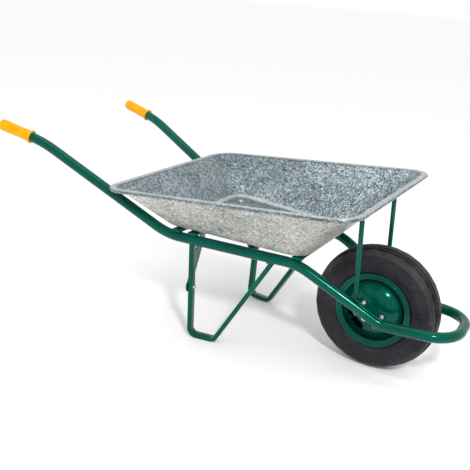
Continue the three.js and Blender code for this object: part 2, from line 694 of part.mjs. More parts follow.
function stayGeometry(side) {
  const level = new THREE.Vector3(0, 1, 0);
  const cross = level.clone().transformDirection(sideFrame(side));
  const tab = (up) => {
    const at = wallPoint(stayTopX).addScaledVector(wallWay, up)
      .addScaledVector(wallOut, sheet + GAP + stayFlat / 2);
    return onSide(side, at.x, at.z);
  };
  const foot = (a) => new THREE.Vector3().applyMatrix4(dropFrame(side, a, footUp));
  const footUpWay = new THREE.Vector3(0, 0, 1).transformDirection(dropFrame(side, 0, 0));
  const topCorner = tab(0);
  const footCorner = foot(bracketBolts[0] - stayFootBack);
  const down = footCorner.clone().sub(topCorner).normalize();
  const forward = down.clone().cross(cross);
  const topFace = wallOut.clone().add(forward).normalize();
  const footFace = footUpWay.clone().add(forward).normalize();
  const onBar = (below) => topCorner.clone().addScaledVector(down, below);
  const length = topCorner.distanceTo(footCorner);
  const sections = [
    [tab(stayTabReach + stayTabEnd), level, wallOut, 1],
    [tab(5), level, wallOut, 1],
    [onBar(1), level, topFace, 1],
    [onBar(6), cross, forward, 0.85],
    [onBar(17), cross, forward, 0],
    [onBar(length - 32), cross, forward, 0],
    [onBar(length - 9), cross, forward, 0.85],
    [onBar(length - 1), cross, footFace, 1],
    [foot(bracketBolts[0] - stayFootBack + 6), cross, footUpWay, 1],
    [foot(bracketBolts[0] + stayTabEnd), cross, footUpWay, 1],
  ].map(([centre, width, thick, flatness]) => staySection({ centre, width, thick, flatness }));
  const footHole = boltHole(60).applyMatrix4(dropFrame(side, bracketBolts[0], footUp));
  const tabHole = boltHole(40).applyMatrix4(stayBolt(side));
  return cut(loft(sections), [footHole, tabHole]);
}

for (const [hand, side] of sides) {
  place(`${hand}_front_stay`, stayGeometry(side), greenPaint);
  place(`stay_bolt_${hand}`, cupBolt(sheet + stayFlat + nutHeight + 3 * GAP + threadShown), zinc,
    chain(stayBolt(side), translation(0, 0, -GAP), flip));
  place(`stay_nut_${hand}`, nut(), zinc,
    chain(stayBolt(side), translation(0, 0, sheet + stayFlat + 2 * GAP)));

  const nutSeats = [footUp + stayFlat / 2 + GAP, flangeUnder + bracketSheet + GAP];
  ['rear', 'front'].forEach((end, index) => {
    const a = bracketBolts[index];
    const seat = nutSeats[index];
    const throughTube = tubeRadius + GAP + seat + nutHeight + threadShown - 1;
    place(`bracket_bolt_${end}_${hand}`, cupBolt(throughTube, cupHeightUnderTube), zinc,
      chain(dropFrame(side, a, -tubeRadius - GAP), flip));
    place(`bracket_nut_${end}_${hand}`, nut(), zinc, dropFrame(side, a, seat));
  });
}

// ------------------------------------------------------------------------ wheel

const wheelCentre = translation(axleX, 0, axleZ);
const facet = 1 / Math.cos(Math.PI / wheelSteps);

// Profiles are [distance along the axle, radius]; flats lie at the stated radius.
function turned(profile, steps = wheelSteps) {
  const points = profile.map(([y, radius]) => new THREE.Vector2(radius, y));
  if (THREE.ShapeUtils.area(points) < 0) points.reverse();
  return new THREE.LatheGeometry([...points, points[0].clone()], steps)
    .rotateY(Math.PI / steps).scale(facet, 1, facet);
}

// The same path moved sideways by a distance, with mitred corners.
function offsetPath(path, distance) {
  const points = path.map(([x, y]) => new THREE.Vector2(x, y));
  const sideOf = (from, to) =>
    to.clone().sub(from).normalize().rotateAround(new THREE.Vector2(), Math.PI / 2);
  return points.map((point, index) => {
    const before = index > 0 ? sideOf(points[index - 1], point) : null;
    const after = index < points.length - 1 ? sideOf(point, points[index + 1]) : null;
    const way = (before ?? after).clone().add(after ?? before).normalize();
    const moved = point.clone().addScaledVector(way, distance / way.dot(before ?? after));
    return [moved.x, moved.y];
  });
}

const mirrored = (path) => [...path, ...[...path].reverse().map(([y, radius]) => [-y, radius])];
const shell = (path, thickness) => [...path, ...offsetPath(path, thickness).reverse()];

// Tyre, tube and rim share the bead seats and flanges.
const carcass = 7;
const beadY = rimHalfWidth - rimSheet - GAP;
const halfTyre = tyreWidth / 2;
const tyrePath = mirrored([
  [beadY, beadSeat + GAP], [beadY, flangeRadius + 1], [halfTyre, flangeRadius + 20],
  [halfTyre, wheelRadius - 21], [halfTyre - 8, wheelRadius - 5], [halfTyre / 2, wheelRadius],
]);
place('tyre', turned(shell(tyrePath, carcass)), tyreRubber, wheelCentre);

const tubeOutside = offsetPath(tyrePath, carcass + 2 * GAP);
const tubeInside = offsetPath(tyrePath, carcass + 2 * GAP + tubeSkin);
tubeInside[0][1] += tubeSkin;
tubeInside[tubeInside.length - 1][1] += tubeSkin;
const valveWay = chain(rotationY(Math.PI / 2 - valveAngle));
const valveHole = rod(valveRadius + GAP, 40, 12, true).translate(0, 0, beadSeat)
  .applyMatrix4(valveWay);
place('inner_tube', cut(turned(tubeOutside), [turned(tubeInside), valveHole]), tubeRubber, wheelCentre);

const wellRadius = discRadius + GAP + rimSheet;
const rimPath = mirrored([
  [beadY + GAP + 1, flangeRadius], [beadY + GAP, flangeRadius - 5], [beadY + GAP, beadSeat],
  [wellHalfWidth + 6, beadSeat], [wellHalfWidth, wellRadius],
]);
place('wheel_rim', cut(turned(shell(rimPath, rimSheet)), [valveHole]), greenPaint, wheelCentre);

// The valve stands on the inner tube and points at the axle.
const stem = [
  [0, beadSeat + 5], [7, beadSeat + 5], [7, beadSeat + 3], [valveRadius, beadSeat + 3],
  [valveRadius, beadSeat - 18], [2.6, beadSeat - 18], [2.6, beadSeat - 26], [0, beadSeat - 26],
].map(([radius, out]) => new THREE.Vector2(radius, out));
place('valve_stem', new THREE.LatheGeometry([...stem].reverse(), 10).rotateX(Math.PI / 2), tubeRubber,
  chain(wheelCentre, valveWay));
const cap = [
  [0, -29], [3.8, -29], [4.2, -18.3], [2.9, -18.3], [2.9, -26.3], [0, -26.3],
].map(([radius, out]) => new THREE.Vector2(radius, beadSeat + out));
place('valve_cap', new THREE.LatheGeometry(cap, 10).rotateX(Math.PI / 2), zinc,
  chain(wheelCentre, valveWay));

// Two pressed discs close the wheel; the one on the valve's side has a kidney opening.
const discPath = [
  [discEdge - 10, discRadius], [discEdge, discRadius], [discEdge + 13, 0.9 * discRadius],
  [discEdge + 25, 0.7 * discRadius], [hubHalfLength - 2, 0.42 * discRadius],
  [hubHalfLength - 1, hubRadius + GAP],
];
const [openFrom, openTo] = [valveAngle - openingAngle / 2, valveAngle + openingAngle / 2];
const openingShape = new THREE.Shape();
const capAt = (angle) => [openingRadius * Math.cos(angle), openingRadius * Math.sin(angle)];
openingShape.absarc(0, 0, openingRadius + discOpening / 2, openFrom, openTo);
openingShape.absarc(...capAt(openTo), discOpening / 2, openTo, openTo + Math.PI);
openingShape.absarc(0, 0, openingRadius - discOpening / 2, openTo, openFrom, true);
openingShape.absarc(...capAt(openFrom), discOpening / 2, openFrom + Math.PI, openFrom + 2 * Math.PI);
const opening = new THREE.ExtrudeGeometry(openingShape, {
  depth: hubHalfLength, bevelEnabled: false, curveSegments: 8,
}).rotateX(Math.PI / 2);
const disc = (side) =>
  turned(shell(discPath.map(([y, radius]) => [side * y, radius]), -side * discSheet));
place('right_wheel_disc', cut(disc(-1), [opening]), greenPaint, wheelCentre);
place('left_wheel_disc', disc(1), greenPaint, wheelCentre);

const ringProfile = (from, to, inner, outer) =>
  [[from, inner], [from, outer], [to, outer], [to, inner]];
place('hub_tube', turned(ringProfile(hubHalfLength, -hubHalfLength, bearingRadius + GAP, hubRadius)),
  greenPaint, wheelCentre);

// ------------------------------------------------------------------------ axle

const axleEnd = lugInside + bracketSheet + GAP + axleNutHeight + 4;
const axleProfile = [
  [0, -axleEnd], [axleEndRadius, -axleEnd], [axleEndRadius, 1 - lugInside], [axleRadius, 1 - lugInside],
  [axleRadius, lugInside - 1], [axleEndRadius, lugInside - 1], [axleEndRadius, axleEnd], [0, axleEnd],
].map(([radius, y]) => new THREE.Vector2(radius, y));
place('axle', new THREE.LatheGeometry(axleProfile, 18), brightSteel, wheelCentre);
for (const [hand, side] of sides) {
  const sideWay = (y) =>
    chain(wheelCentre, translation(0, side * y, 0), rotationX(-side * Math.PI / 2));
  const bearing = turned(ringProfile(bearingWidth, 0, axleRadius + GAP, bearingRadius), 18);
  place(`${hand}_bearing`, bearing.rotateX(Math.PI / 2), brightSteel,
    sideWay(hubHalfLength - 1 - bearingWidth));
  const spacerLength = lugInside - hubHalfLength + 1 - 2 * GAP;
  const spacer = turned(ringProfile(spacerLength, 0, axleRadius + GAP, spacerRadius), 18);
  place(`${hand}_axle_spacer`, spacer.rotateX(Math.PI / 2), zinc, sideWay(hubHalfLength - 1 + GAP));
  place(`${hand}_axle_nut`, nut(axleNutRadius, axleNutHeight, axleEndRadius), zinc,
    sideWay(lugInside + bracketSheet + GAP));
}

// ---------------------------------------------------------------------- origin

// The origin goes on the ground, under the middle of the whole barrow.
wheelbarrow.updateMatrixWorld(true);
const bounds = new THREE.Box3().setFromObject(wheelbarrow, true);
const middle = bounds.getCenter(new THREE.Vector3());
wheelbarrow.position.set(-middle.x, -middle.y, -bounds.min.z);

export default wheelbarrow;
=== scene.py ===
from math import asin, atan, atan2, cos, pi, radians, sin, tan

import bmesh
import bpy
from mathutils import Matrix, Vector


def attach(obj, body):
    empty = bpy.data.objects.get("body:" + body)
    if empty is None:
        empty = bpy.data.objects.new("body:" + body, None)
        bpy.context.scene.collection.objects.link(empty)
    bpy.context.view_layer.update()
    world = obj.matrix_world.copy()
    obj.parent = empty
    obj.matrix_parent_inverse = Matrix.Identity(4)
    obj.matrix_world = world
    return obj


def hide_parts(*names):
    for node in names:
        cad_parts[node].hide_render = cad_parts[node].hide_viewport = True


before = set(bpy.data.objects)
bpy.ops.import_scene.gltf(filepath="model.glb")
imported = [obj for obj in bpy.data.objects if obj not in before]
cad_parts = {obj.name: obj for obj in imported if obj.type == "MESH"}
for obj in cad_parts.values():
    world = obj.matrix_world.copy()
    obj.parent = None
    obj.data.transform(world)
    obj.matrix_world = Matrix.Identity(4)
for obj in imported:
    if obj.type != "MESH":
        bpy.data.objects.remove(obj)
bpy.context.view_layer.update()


# The studio. A pale seamless floor, a broad soft light overhead, and a smaller
# bright one high on the right that draws the crisp lines along the paint.
camera_data = bpy.data.cameras.new("camera")
camera_data.sensor_width = 36
camera_data.lens = 53.2
camera = bpy.data.objects.new("camera", camera_data)
bpy.context.collection.objects.link(camera)
turn, lift, roll = radians(29.1), radians(19.5), radians(4.15)
back = Vector((sin(turn) * cos(lift), -cos(turn) * cos(lift), sin(lift)))
level = Vector((cos(turn), sin(turn), 0))
upright = back.cross(level)
right = level * cos(roll) + upright * sin(roll)
above = upright * cos(roll) - level * sin(roll)
camera.matrix_world = Matrix((right, above, back)).transposed().to_4x4()
camera.location = (1.0694, -1.9761, 1.1105)
bpy.context.scene.camera = camera

floor_mesh = bmesh.new()
bmesh.ops.create_grid(floor_mesh, x_segments=1, y_segments=1, size=60)
floor_data = bpy.data.meshes.new("studio_floor")
floor_mesh.to_mesh(floor_data)
floor_mesh.free()
studio_floor = bpy.data.objects.new("studio_floor", floor_data)
bpy.context.collection.objects.link(studio_floor)
floor_paper = bpy.data.materials.new("floor_paper")
floor_paper.use_nodes = True
paper_shader = floor_paper.node_tree.nodes["Principled BSDF"]
paper_shader.inputs["Base Color"].default_value = (0.96, 0.96, 0.96, 1)
paper_shader.inputs["Roughness"].default_value = 0.9
paper_shader.inputs["Specular IOR Level"].default_value = 0.1
floor_data.materials.append(floor_paper)

world = bpy.data.worlds.new("studio")
world.use_nodes = True
world.node_tree.nodes["Background"].inputs["Color"].default_value = (1.0, 1.0, 1.0, 1)
world.node_tree.nodes["Background"].inputs["Strength"].default_value = 1.0
bpy.context.scene.world = world
bpy.context.scene.view_settings.view_transform = "Standard"


def hang_light(name, place, aim, size, power, colour=(1, 1, 1)):
    data = bpy.data.lights.new(name, "AREA")
    data.shape = "RECTANGLE"
    data.size, data.size_y = size
    data.energy = power
    data.color = colour
    light = bpy.data.objects.new(name, data)
    light.location = place
    light.rotation_euler = (Vector(place) - Vector(aim)).to_track_quat("Z", "Y").to_euler()
    bpy.context.collection.objects.link(light)


hang_light("overhead", (0.1, -0.35, 2.9), (0.1, 0, 0.3), (2.6, 0.45), 14)
hang_light("key", (2.0, -2.2, 2.5), (0.3, 0, 0.3), (0.36, 0.36), 70, (1, 0.98, 0.95))
hang_light("fill", (-2.6, -2.2, 1.6), (0, 0, 0.3), (1.6, 1.6), 3, (0.9, 0.95, 1))


# The frame tube. One length of 33 mm steel tube, bent cold: up from the right
# grip, under the tray, down past the wheel, round in front of it and back again.
# It is dipped in dark green gloss paint like every steel part that hangs on it.
shift = 0.09634  # the tray's middle, ahead of the origin
fit_gap = 0.0003
tube_radius = 0.0165
splay = atan(0.1553)
rail_fall = 0.0291
mid_rail_half, mid_rail_height = 0.2022, 0.3444


def rail_spacing(x):
    return mid_rail_half - tan(splay) * (x - shift)


def rail_height(x):
    return mid_rail_height - rail_fall * (x - shift)


axle = Vector((0.49934, 0, 0.2))
rear_bend_x, front_bend_x, loop_x = -0.14466, 0.28834, 0.76732
handle_run, handle_rise = 0.468, radians(26.6)
grip_run, grip_rise = 0.157, radians(12.9)
tube_over_axle = 0.0268
grip_bend = Vector((rear_bend_x - handle_run, rail_height(rear_bend_x) + handle_run * tan(handle_rise)))
tube_end = Vector((grip_bend.x - grip_run, grip_bend.y + grip_run * tan(grip_rise)))
fall = Vector((axle.x - front_bend_x, rail_height(front_bend_x) - axle.z))
fall_angle = atan2(fall.y, fall.x) - asin(tube_over_axle / fall.length)
arm_x = front_bend_x + fall.y / tan(fall_angle)
side_route = [
    tube_end, grip_bend, Vector((rear_bend_x, rail_height(rear_bend_x))),
    Vector((front_bend_x, rail_height(front_bend_x))), Vector((arm_x, axle.z)), Vector((loop_x, axle.z)),
]
side_bends = [0, 0.40, 0.215, 0.18, 0.10, 0.092]


def on_rail(side, x, z):
    return Vector((x, side * rail_spacing(x), z))


def verts_in(geom):
    return [v for v in geom if isinstance(v, bmesh.types.BMVert)]


def edges_in(geom):
    return [e for e in geom if isinstance(e, bmesh.types.BMEdge)]


def edges_of(verts):
    """Every edge at some vertices, once each and always in the same order."""
    return list(dict.fromkeys(edge for vert in verts for edge in vert.link_edges))


def run_along(mesh, ring, stops, bends, turn_steps):
    """Draws a ring of edges along straight runs and round bends."""
    here = stops[0]
    for index in range(1, len(stops)):
        way = (stops[index] - stops[index - 1]).normalized()
        bend = bends[index] if index < len(stops) - 1 else 0
        reach, sweep = 0, 0
        if bend:
            onward = (stops[index + 1] - stops[index]).normalized()
            sweep = way.angle(onward)
            reach = bend * tan(sweep / 2)
        target = stops[index] - way * reach
        grown = bmesh.ops.extrude_edge_only(mesh, edges=ring)["geom"]
        bmesh.ops.translate(mesh, vec=target - here, verts=verts_in(grown))
        ring = edges_in(grown)
        here = target
        if bend:
            inward = (onward - way * onward.dot(way)).normalized()
            verts = list(dict.fromkeys(vert for edge in ring for vert in edge.verts))
            turned = bmesh.ops.spin(
                mesh, geom=verts + ring, cent=here + inward * bend, axis=way.cross(onward).normalized(),
                dvec=(0, 0, 0), angle=sweep, steps=max(3, round(turn_steps * sweep)), use_duplicate=False)
            ring = edges_in(turned["geom_last"])
            here = stops[index] + onward * reach
    return ring


def facing(place, way, side=(0, 0, 1)):
    """A matrix at a place whose Z looks along way, and whose X lies near side."""
    z = Vector(way).normalized()
    x = Vector(side)
    x = (x - z * x.dot(z)).normalized()
    return Matrix.Translation(place) @ Matrix((x, z.cross(x), z)).transposed().to_4x4()


def make_piece(mesh, name, material, body, nodes, crease=35):
    """Closes the mesh up into a finished piece in its place on the barrow."""
    bmesh.ops.remove_doubles(mesh, verts=mesh.verts, dist=1e-6)
    bmesh.ops.recalc_face_normals(mesh, faces=mesh.faces)
    for face in mesh.faces:
        face.smooth = True
    for edge in mesh.edges:
        edge.smooth = len(edge.link_faces) == 2 and edge.calc_face_angle(0) < radians(crease)
    data = bpy.data.meshes.new(name)
    mesh.to_mesh(data)
    mesh.free()
    data.materials.append(material)
    piece = bpy.data.objects.new(name, data)
    bpy.context.collection.objects.link(piece)
    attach(piece, body)
    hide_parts(*nodes)
    return piece


def new_finish(name):
    """An empty node material, with shorthands for adding its nodes and linking them."""
    material = bpy.data.materials.new(name)
    material.use_nodes = True
    tree = material.node_tree
    shader = tree.nodes["Principled BSDF"]

    def node(kind, values=None, **links):
        made = tree.nodes.new(kind)
        for key, value in (values or {}).items():
            if isinstance(key, int) or key in made.inputs:
                made.inputs[key].default_value = value
            else:
                setattr(made, key, value)
        for key, source in links.items():
            tree.links.new(source, made.inputs[int(key[2:])])
        return made

    return material, shader, node, tree.links.new


def ramp(node, source, stops):
    """A colour ramp through (place, grey or colour) stops."""
    made = node("ShaderNodeValToRGB", in0=source)
    line = made.color_ramp
    while len(line.elements) < len(stops):
        line.elements.new(0.5)
    for element, (place, colour) in zip(line.elements, stops):
        element.position = place
        element.color = (*colour, 1) if isinstance(colour, tuple) else (colour, colour, colour, 1)
    return made.outputs["Color"]


def gloss_green(name):
    """Dipped gloss paint: a deep green, faint runs and orange peel, dulled in patches."""
    material, shader, node, link = new_finish(name)
    place = node("ShaderNodeTexCoord").outputs["Object"]
    patches = node("ShaderNodeTexNoise", {"Scale": 9.0, "Detail": 4.0, "Roughness": 0.6}, in0=place)
    specks = node("ShaderNodeTexNoise", {"Scale": 260.0, "Detail": 2.0, "Roughness": 0.7}, in0=place)
    peel = node("ShaderNodeTexNoise", {"Scale": 420.0, "Detail": 2.0, "Roughness": 0.5}, in0=place)
    runs = node("ShaderNodeTexNoise", {"Scale": 46.0, "Detail": 2.0, "Roughness": 0.5}, in0=place)
    body = ramp(node, patches.outputs["Fac"], [
        (0.30, (0.000, 0.034, 0.022)), (0.55, (0.000, 0.054, 0.036)), (0.75, (0.000, 0.078, 0.053))])
    dust = ramp(node, specks.outputs["Fac"], [(0.66, 0.0), (0.84, 0.30)])
    mixed = node("ShaderNodeMix", {"data_type": "RGBA"})
    link(dust, mixed.inputs["Factor"])
    link(body, mixed.inputs["A"])
    mixed.inputs["B"].default_value = (0.02, 0.13, 0.10, 1)
    link(mixed.outputs["Result"], shader.inputs["Base Color"])
    gloss = ramp(node, patches.outputs["Fac"], [(0.25, 0.13), (0.6, 0.20), (0.8, 0.33)])
    link(gloss, shader.inputs["Roughness"])
    shader.inputs["Metallic"].default_value = 0.0
    shader.inputs["Specular IOR Level"].default_value = 0.42
    shader.inputs["Specular Tint"].default_value = (0.02, 0.80, 0.62, 1)
    shader.inputs["Coat Weight"].default_value = 0.15
    shader.inputs["Coat Roughness"].default_value = 0.08
    skin = node("ShaderNodeBump", {"Strength": 0.10, "Distance": 0.0006})
    link(peel.outputs["Fac"], skin.inputs["Height"])
    flow = node("ShaderNodeBump", {"Strength": 0.22, "Distance": 0.0016})
    link(runs.outputs["Fac"], flow.inputs["Height"])
    link(skin.outputs["Normal"], flow.inputs["Normal"])
    link(flow.outputs["Normal"], shader.inputs["Normal"])
    return material


green_paint = gloss_green("green_gloss_paint")

tube = bmesh.new()
stops = [on_rail(-1, p.x, p.y) for p in side_route] + [on_rail(1, p.x, p.y) for p in reversed(side_route)]
first_ring = bmesh.ops.create_circle(
    tube, segments=40, radius=tube_radius, matrix=facing(stops[0], stops[1] - stops[0]))["verts"]
tube_ring = edges_of(first_ring)
last_ring = run_along(tube, tube_ring, stops, side_bends + side_bends[::-1], 22)
bmesh.ops.edgeloop_fill(tube, edges=tube_ring)
bmesh.ops.edgeloop_fill(tube, edges=last_ring)
make_piece(tube, "bent_frame_tube", green_paint, "barrow", ["frame_tube"])


# The grips. Soft yellow plastic sleeves pushed over the tube's ends, with a closed
# round nose, a shallow waist for the palm and a collar that stops the hand.
def moulded_yellow():
    material, shader, node, link = new_finish("yellow_grip_plastic")
    place = node("ShaderNodeTexCoord").outputs["Object"]
    rubbed = node("ShaderNodeTexNoise", {"Scale": 24.0, "Detail": 5.0, "Roughness": 0.65}, in0=place)
    grain = node("ShaderNodeTexNoise", {"Scale": 700.0, "Detail": 2.0, "Roughness": 0.5}, in0=place)
    colour = ramp(node, rubbed.outputs["Fac"], [
        (0.30, (0.68, 0.27, 0.001)), (0.55, (0.76, 0.34, 0.001)), (0.78, (0.82, 0.40, 0.002))])
    link(colour, shader.inputs["Base Color"])
    link(ramp(node, rubbed.outputs["Fac"], [(0.3, 0.34), (0.75, 0.55)]), shader.inputs["Roughness"])
    shader.inputs["Specular IOR Level"].default_value = 0.35
    shader.inputs["Specular Tint"].default_value = (1.0, 0.62, 0.10, 1)
    shader.inputs["Subsurface Weight"].default_value = 0.04
    shader.inputs["Subsurface Radius"].default_value = (0.004, 0.002, 0.0006)
    skin = node("ShaderNodeBump", {"Strength": 0.2, "Distance": 0.0004})
    link(grain.outputs["Fac"], skin.inputs["Height"])
    link(skin.outputs["Normal"], shader.inputs["Normal"])
    return material


def spun(mesh, profile, place, steps=64, closed=False):
    """Turns a profile of (radius, along) points round the Z axis of a placing matrix."""
    verts = [mesh.verts.new(place @ Vector((radius, 0, along))) for radius, along in profile]
    edges = [mesh.edges.new(pair) for pair in zip(verts, verts[1:])]
    if closed:
        edges.append(mesh.edges.new((verts[-1], verts[0])))
    bmesh.ops.spin(
        mesh, geom=verts + edges, cent=place.translation, axis=place.to_3x3() @ Vector((0, 0, 1)),
        dvec=(0, 0, 0), angle=2 * pi, steps=steps, use_merge=True, use_duplicate=False)
    bmesh.ops.remove_doubles(mesh, verts=mesh.verts, dist=1e-6)


yellow_plastic = moulded_yellow()
grip_profile = [
    (0.0, -0.0133), (0.005, -0.0130), (0.0100, -0.0116), (0.0142, -0.0088), (0.0172, -0.0048),
    (0.0188, 0.0005), (0.0192, 0.006), (0.0190, 0.02), (0.0185, 0.045), (0.0185, 0.075),
    (0.0189, 0.100), (0.0192, 0.1085), (0.0200, 0.1108), (0.0218, 0.1124), (0.0226, 0.1142),
    (0.0228, 0.1160), (0.0223, 0.1174), (0.0212, 0.1180), (0.0174, 0.1180), (0.0169, 0.1172),
    (0.0169, 0.0), (0.0, 0.0)]
for hand, side in (("right", -1), ("left", 1)):
    grip = bmesh.new()
    start = on_rail(side, tube_end.x, tube_end.y)
    way = on_rail(side, grip_bend.x, grip_bend.y) - start
    spun(grip, grip_profile, facing(start, way), 72)
    make_piece(grip, f"{hand}_hand_grip", yellow_plastic, "barrow", [f"{hand}_grip"], 50)


# The cross bars. Three flat green bars across the tops of the rails; the tray is
# bolted to the first and the last, and the leg braces are welded to the middle one.
deck_angle = atan(rail_fall)
deck = (Matrix.Translation((shift, 0, mid_rail_height)) @ Matrix.Rotation(deck_angle, 4, "Y")
        @ Matrix.Translation((-shift, 0, tube_radius + fit_gap)))
bar_width, bar_thickness, bar_past_rail = 0.03, 0.008, 0.01
bars = {"rear_cross_bar": -0.11166, "leg_cross_bar": -0.05666, "front_cross_bar": 0.28634}


def round_off(mesh, geom, radius, segments, affect="EDGES"):
    """Rounds edges, or the corners of a flat outline; gives back the new vertices."""
    return bmesh.ops.bevel(mesh, geom=geom, offset=radius, offset_type="OFFSET", segments=segments,
                           profile=0.5, affect=affect, material=-1)["verts"]


for name, x in bars.items():
    bar = bmesh.new()
    size = Matrix.Diagonal((bar_width, 2 * (rail_spacing(x) + bar_past_rail), bar_thickness, 1))
    place = deck @ Matrix.Translation((x, 0, bar_thickness / 2))
    bmesh.ops.create_cube(bar, size=1, matrix=place @ size)
    round_off(bar, bar.edges[:], 0.0012, 3)
    make_piece(bar, f"{name}_flat", green_paint, "barrow", [name])


# The tray. One sheet of 1.5 mm steel, deep drawn, rolled round a wire at its rim and
# then dipped in zinc: a spangled crystal skin, dull and warm outside; inside it is
# painted darker and bluer as painted shade.
sheet = 0.0015
rim_pitch = radians(5.3)
rim_up = Vector((-sin(rim_pitch), 0, cos(rim_pitch)))
tray_floor_height, rim_height = 0.37101, 0.535
floor_rear, floor_front = -0.15866, 0.31034
rim_half_length, rim_half_width = 0.406, 0.346
centre = Vector((shift, 0, rim_height))
rim_level = centre.dot(rim_up)


def spangle(name, dark, mid, bright, warm, rough, painted_shade_stops):
    """Hot dipped zinc: small crystals that each lean a little, stains, wear and a painted highlight on rim and
    folds, and painted shade below the rim.
    """
    material, shader, node, link = new_finish(name)
    place = node("ShaderNodeTexCoord").outputs["Object"]
    warp = node("ShaderNodeTexNoise", {"Scale": 60.0, "Detail": 3.0, "Roughness": 0.6}, in0=place)
    pull = node("ShaderNodeVectorMath", {"operation": "SCALE", "Scale": 0.014})
    link(warp.outputs["Color"], pull.inputs[0])
    moved = node("ShaderNodeVectorMath", {"operation": "ADD"})
    link(place, moved.inputs[0])
    link(pull.outputs["Vector"], moved.inputs[1])
    crystals = node("ShaderNodeTexVoronoi", {"Scale": 190.0}, in0=moved.outputs["Vector"])
    grains = node("ShaderNodeTexVoronoi", {"Scale": 480.0}, in0=moved.outputs["Vector"])
    cloud = node("ShaderNodeTexNoise", {"Scale": 7.0, "Detail": 5.0, "Roughness": 0.6}, in0=place)
    stain = node("ShaderNodeTexNoise", {"Scale": 17.0, "Detail": 6.0, "Roughness": 0.7}, in0=place)
    big = node("ShaderNodeSeparateColor")
    link(crystals.outputs["Color"], big.inputs[0])
    small = node("ShaderNodeSeparateColor")
    link(grains.outputs["Color"], small.inputs[0])
    blend = node("ShaderNodeMath", {"operation": "MULTIPLY_ADD", 1: 0.45})
    link(small.outputs["Red"], blend.inputs[0])
    share = node("ShaderNodeMath", {"operation": "MULTIPLY", 1: 0.40})
    link(big.outputs["Red"], share.inputs[0])
    link(share.outputs[0], blend.inputs[2])
    haze = node("ShaderNodeMath", {"operation": "MULTIPLY_ADD", 1: 0.5})
    link(cloud.outputs["Fac"], haze.inputs[0])
    link(blend.outputs[0], haze.inputs[2])
    tone = ramp(node, haze.outputs[0], [(0.28, dark), (0.62, mid), (0.98, bright)])
    tint = node("ShaderNodeMix", {"data_type": "RGBA"})
    link(ramp(node, stain.outputs["Fac"], [(0.50, 0.0), (0.72, 0.55)]), tint.inputs["Factor"])
    link(tone, tint.inputs["A"])
    tint.inputs["B"].default_value = (*warm, 1)
    # Painted highlight and wear: in rubbed, the top of the rim bead and the folds are mixed towards bright bare
    # zinc.
    height = node("ShaderNodeVectorMath", {"operation": "DOT_PRODUCT", 1: tuple(rim_up)}, in0=place)
    level_share = node("ShaderNodeMapRange", {1: rim_level - 0.020, 2: rim_level + 0.005})
    link(height.outputs["Value"], level_share.inputs[0])
    rubbed = node("ShaderNodeMix", {"data_type": "RGBA"})
    lip_wear_and_highlight = ramp(node, level_share.outputs[0], [(0.60, 0.0), (0.80, 0.5), (0.84, 0.55)])
    # The fold band marked on the tray's mesh, for a painted highlight and wear.
    folded = node("ShaderNodeAttribute", {"attribute_name": "rubbed_fold"})
    fold_wear_and_highlight_mask = node("ShaderNodeMath", {"operation": "MULTIPLY"})
    link(ramp(node, folded.outputs["Fac"], [(0.2, 0.0), (1.0, 1.0)]), fold_wear_and_highlight_mask.inputs[0])
    link(ramp(node, small.outputs["Blue"], [(0.10, 0.35), (0.7, 1.0)]), fold_wear_and_highlight_mask.inputs[1])
    wear_and_highlight = node("ShaderNodeMath", {"operation": "MAXIMUM"})
    link(lip_wear_and_highlight, wear_and_highlight.inputs[0])
    link(fold_wear_and_highlight_mask.outputs[0], wear_and_highlight.inputs[1])
    link(wear_and_highlight.outputs[0], rubbed.inputs["Factor"])
    link(tint.outputs["Result"], rubbed.inputs["A"])
    wear_and_highlight_zinc = ramp(node, small.outputs["Green"], [(0.10, (0.36, 0.39, 0.40)), (0.55, (0.55, 0.58, 0.58)),
                                               (0.95, (0.86, 0.89, 0.89))])
    link(wear_and_highlight_zinc, rubbed.inputs["B"])
    # Painted shade: a dark band just below the rim, placed by the stops passed in.
    painted_shade = node("ShaderNodeMix", {"data_type": "RGBA", "blend_type": "MULTIPLY", "Factor": 1.0})
    link(rubbed.outputs["Result"], painted_shade.inputs["A"])
    link(ramp(node, level_share.outputs[0], painted_shade_stops), painted_shade.inputs["B"])
    link(painted_shade.outputs["Result"], shader.inputs["Base Color"])
    gloss = ramp(node, small.outputs["Green"], [(0.0, rough - 0.10), (1.0, rough + 0.14)])
    link(gloss, shader.inputs["Roughness"])
    shader.inputs["Metallic"].default_value = 0.72
    lean = node("ShaderNodeVectorMath", {"operation": "SUBTRACT", 1: (0.5, 0.5, 0.5)})
    link(crystals.outputs["Color"], lean.inputs[0])
    slight = node("ShaderNodeVectorMath", {"operation": "SCALE", "Scale": 0.16})
    link(lean.outputs["Vector"], slight.inputs[0])
    tilted = node("ShaderNodeVectorMath", {"operation": "ADD"})
    link(node("ShaderNodeNewGeometry").outputs["Normal"], tilted.inputs[0])
    link(slight.outputs["Vector"], tilted.inputs[1])
    unit = node("ShaderNodeVectorMath", {"operation": "NORMALIZE"})
    link(tilted.outputs["Vector"], unit.inputs[0])
    dents = node("ShaderNodeBump", {"Strength": 0.25, "Distance": 0.004})
    link(cloud.outputs["Fac"], dents.inputs["Height"])
    link(unit.outputs["Vector"], dents.inputs["Normal"])
    link(dents.outputs["Normal"], shader.inputs["Normal"])
    return material


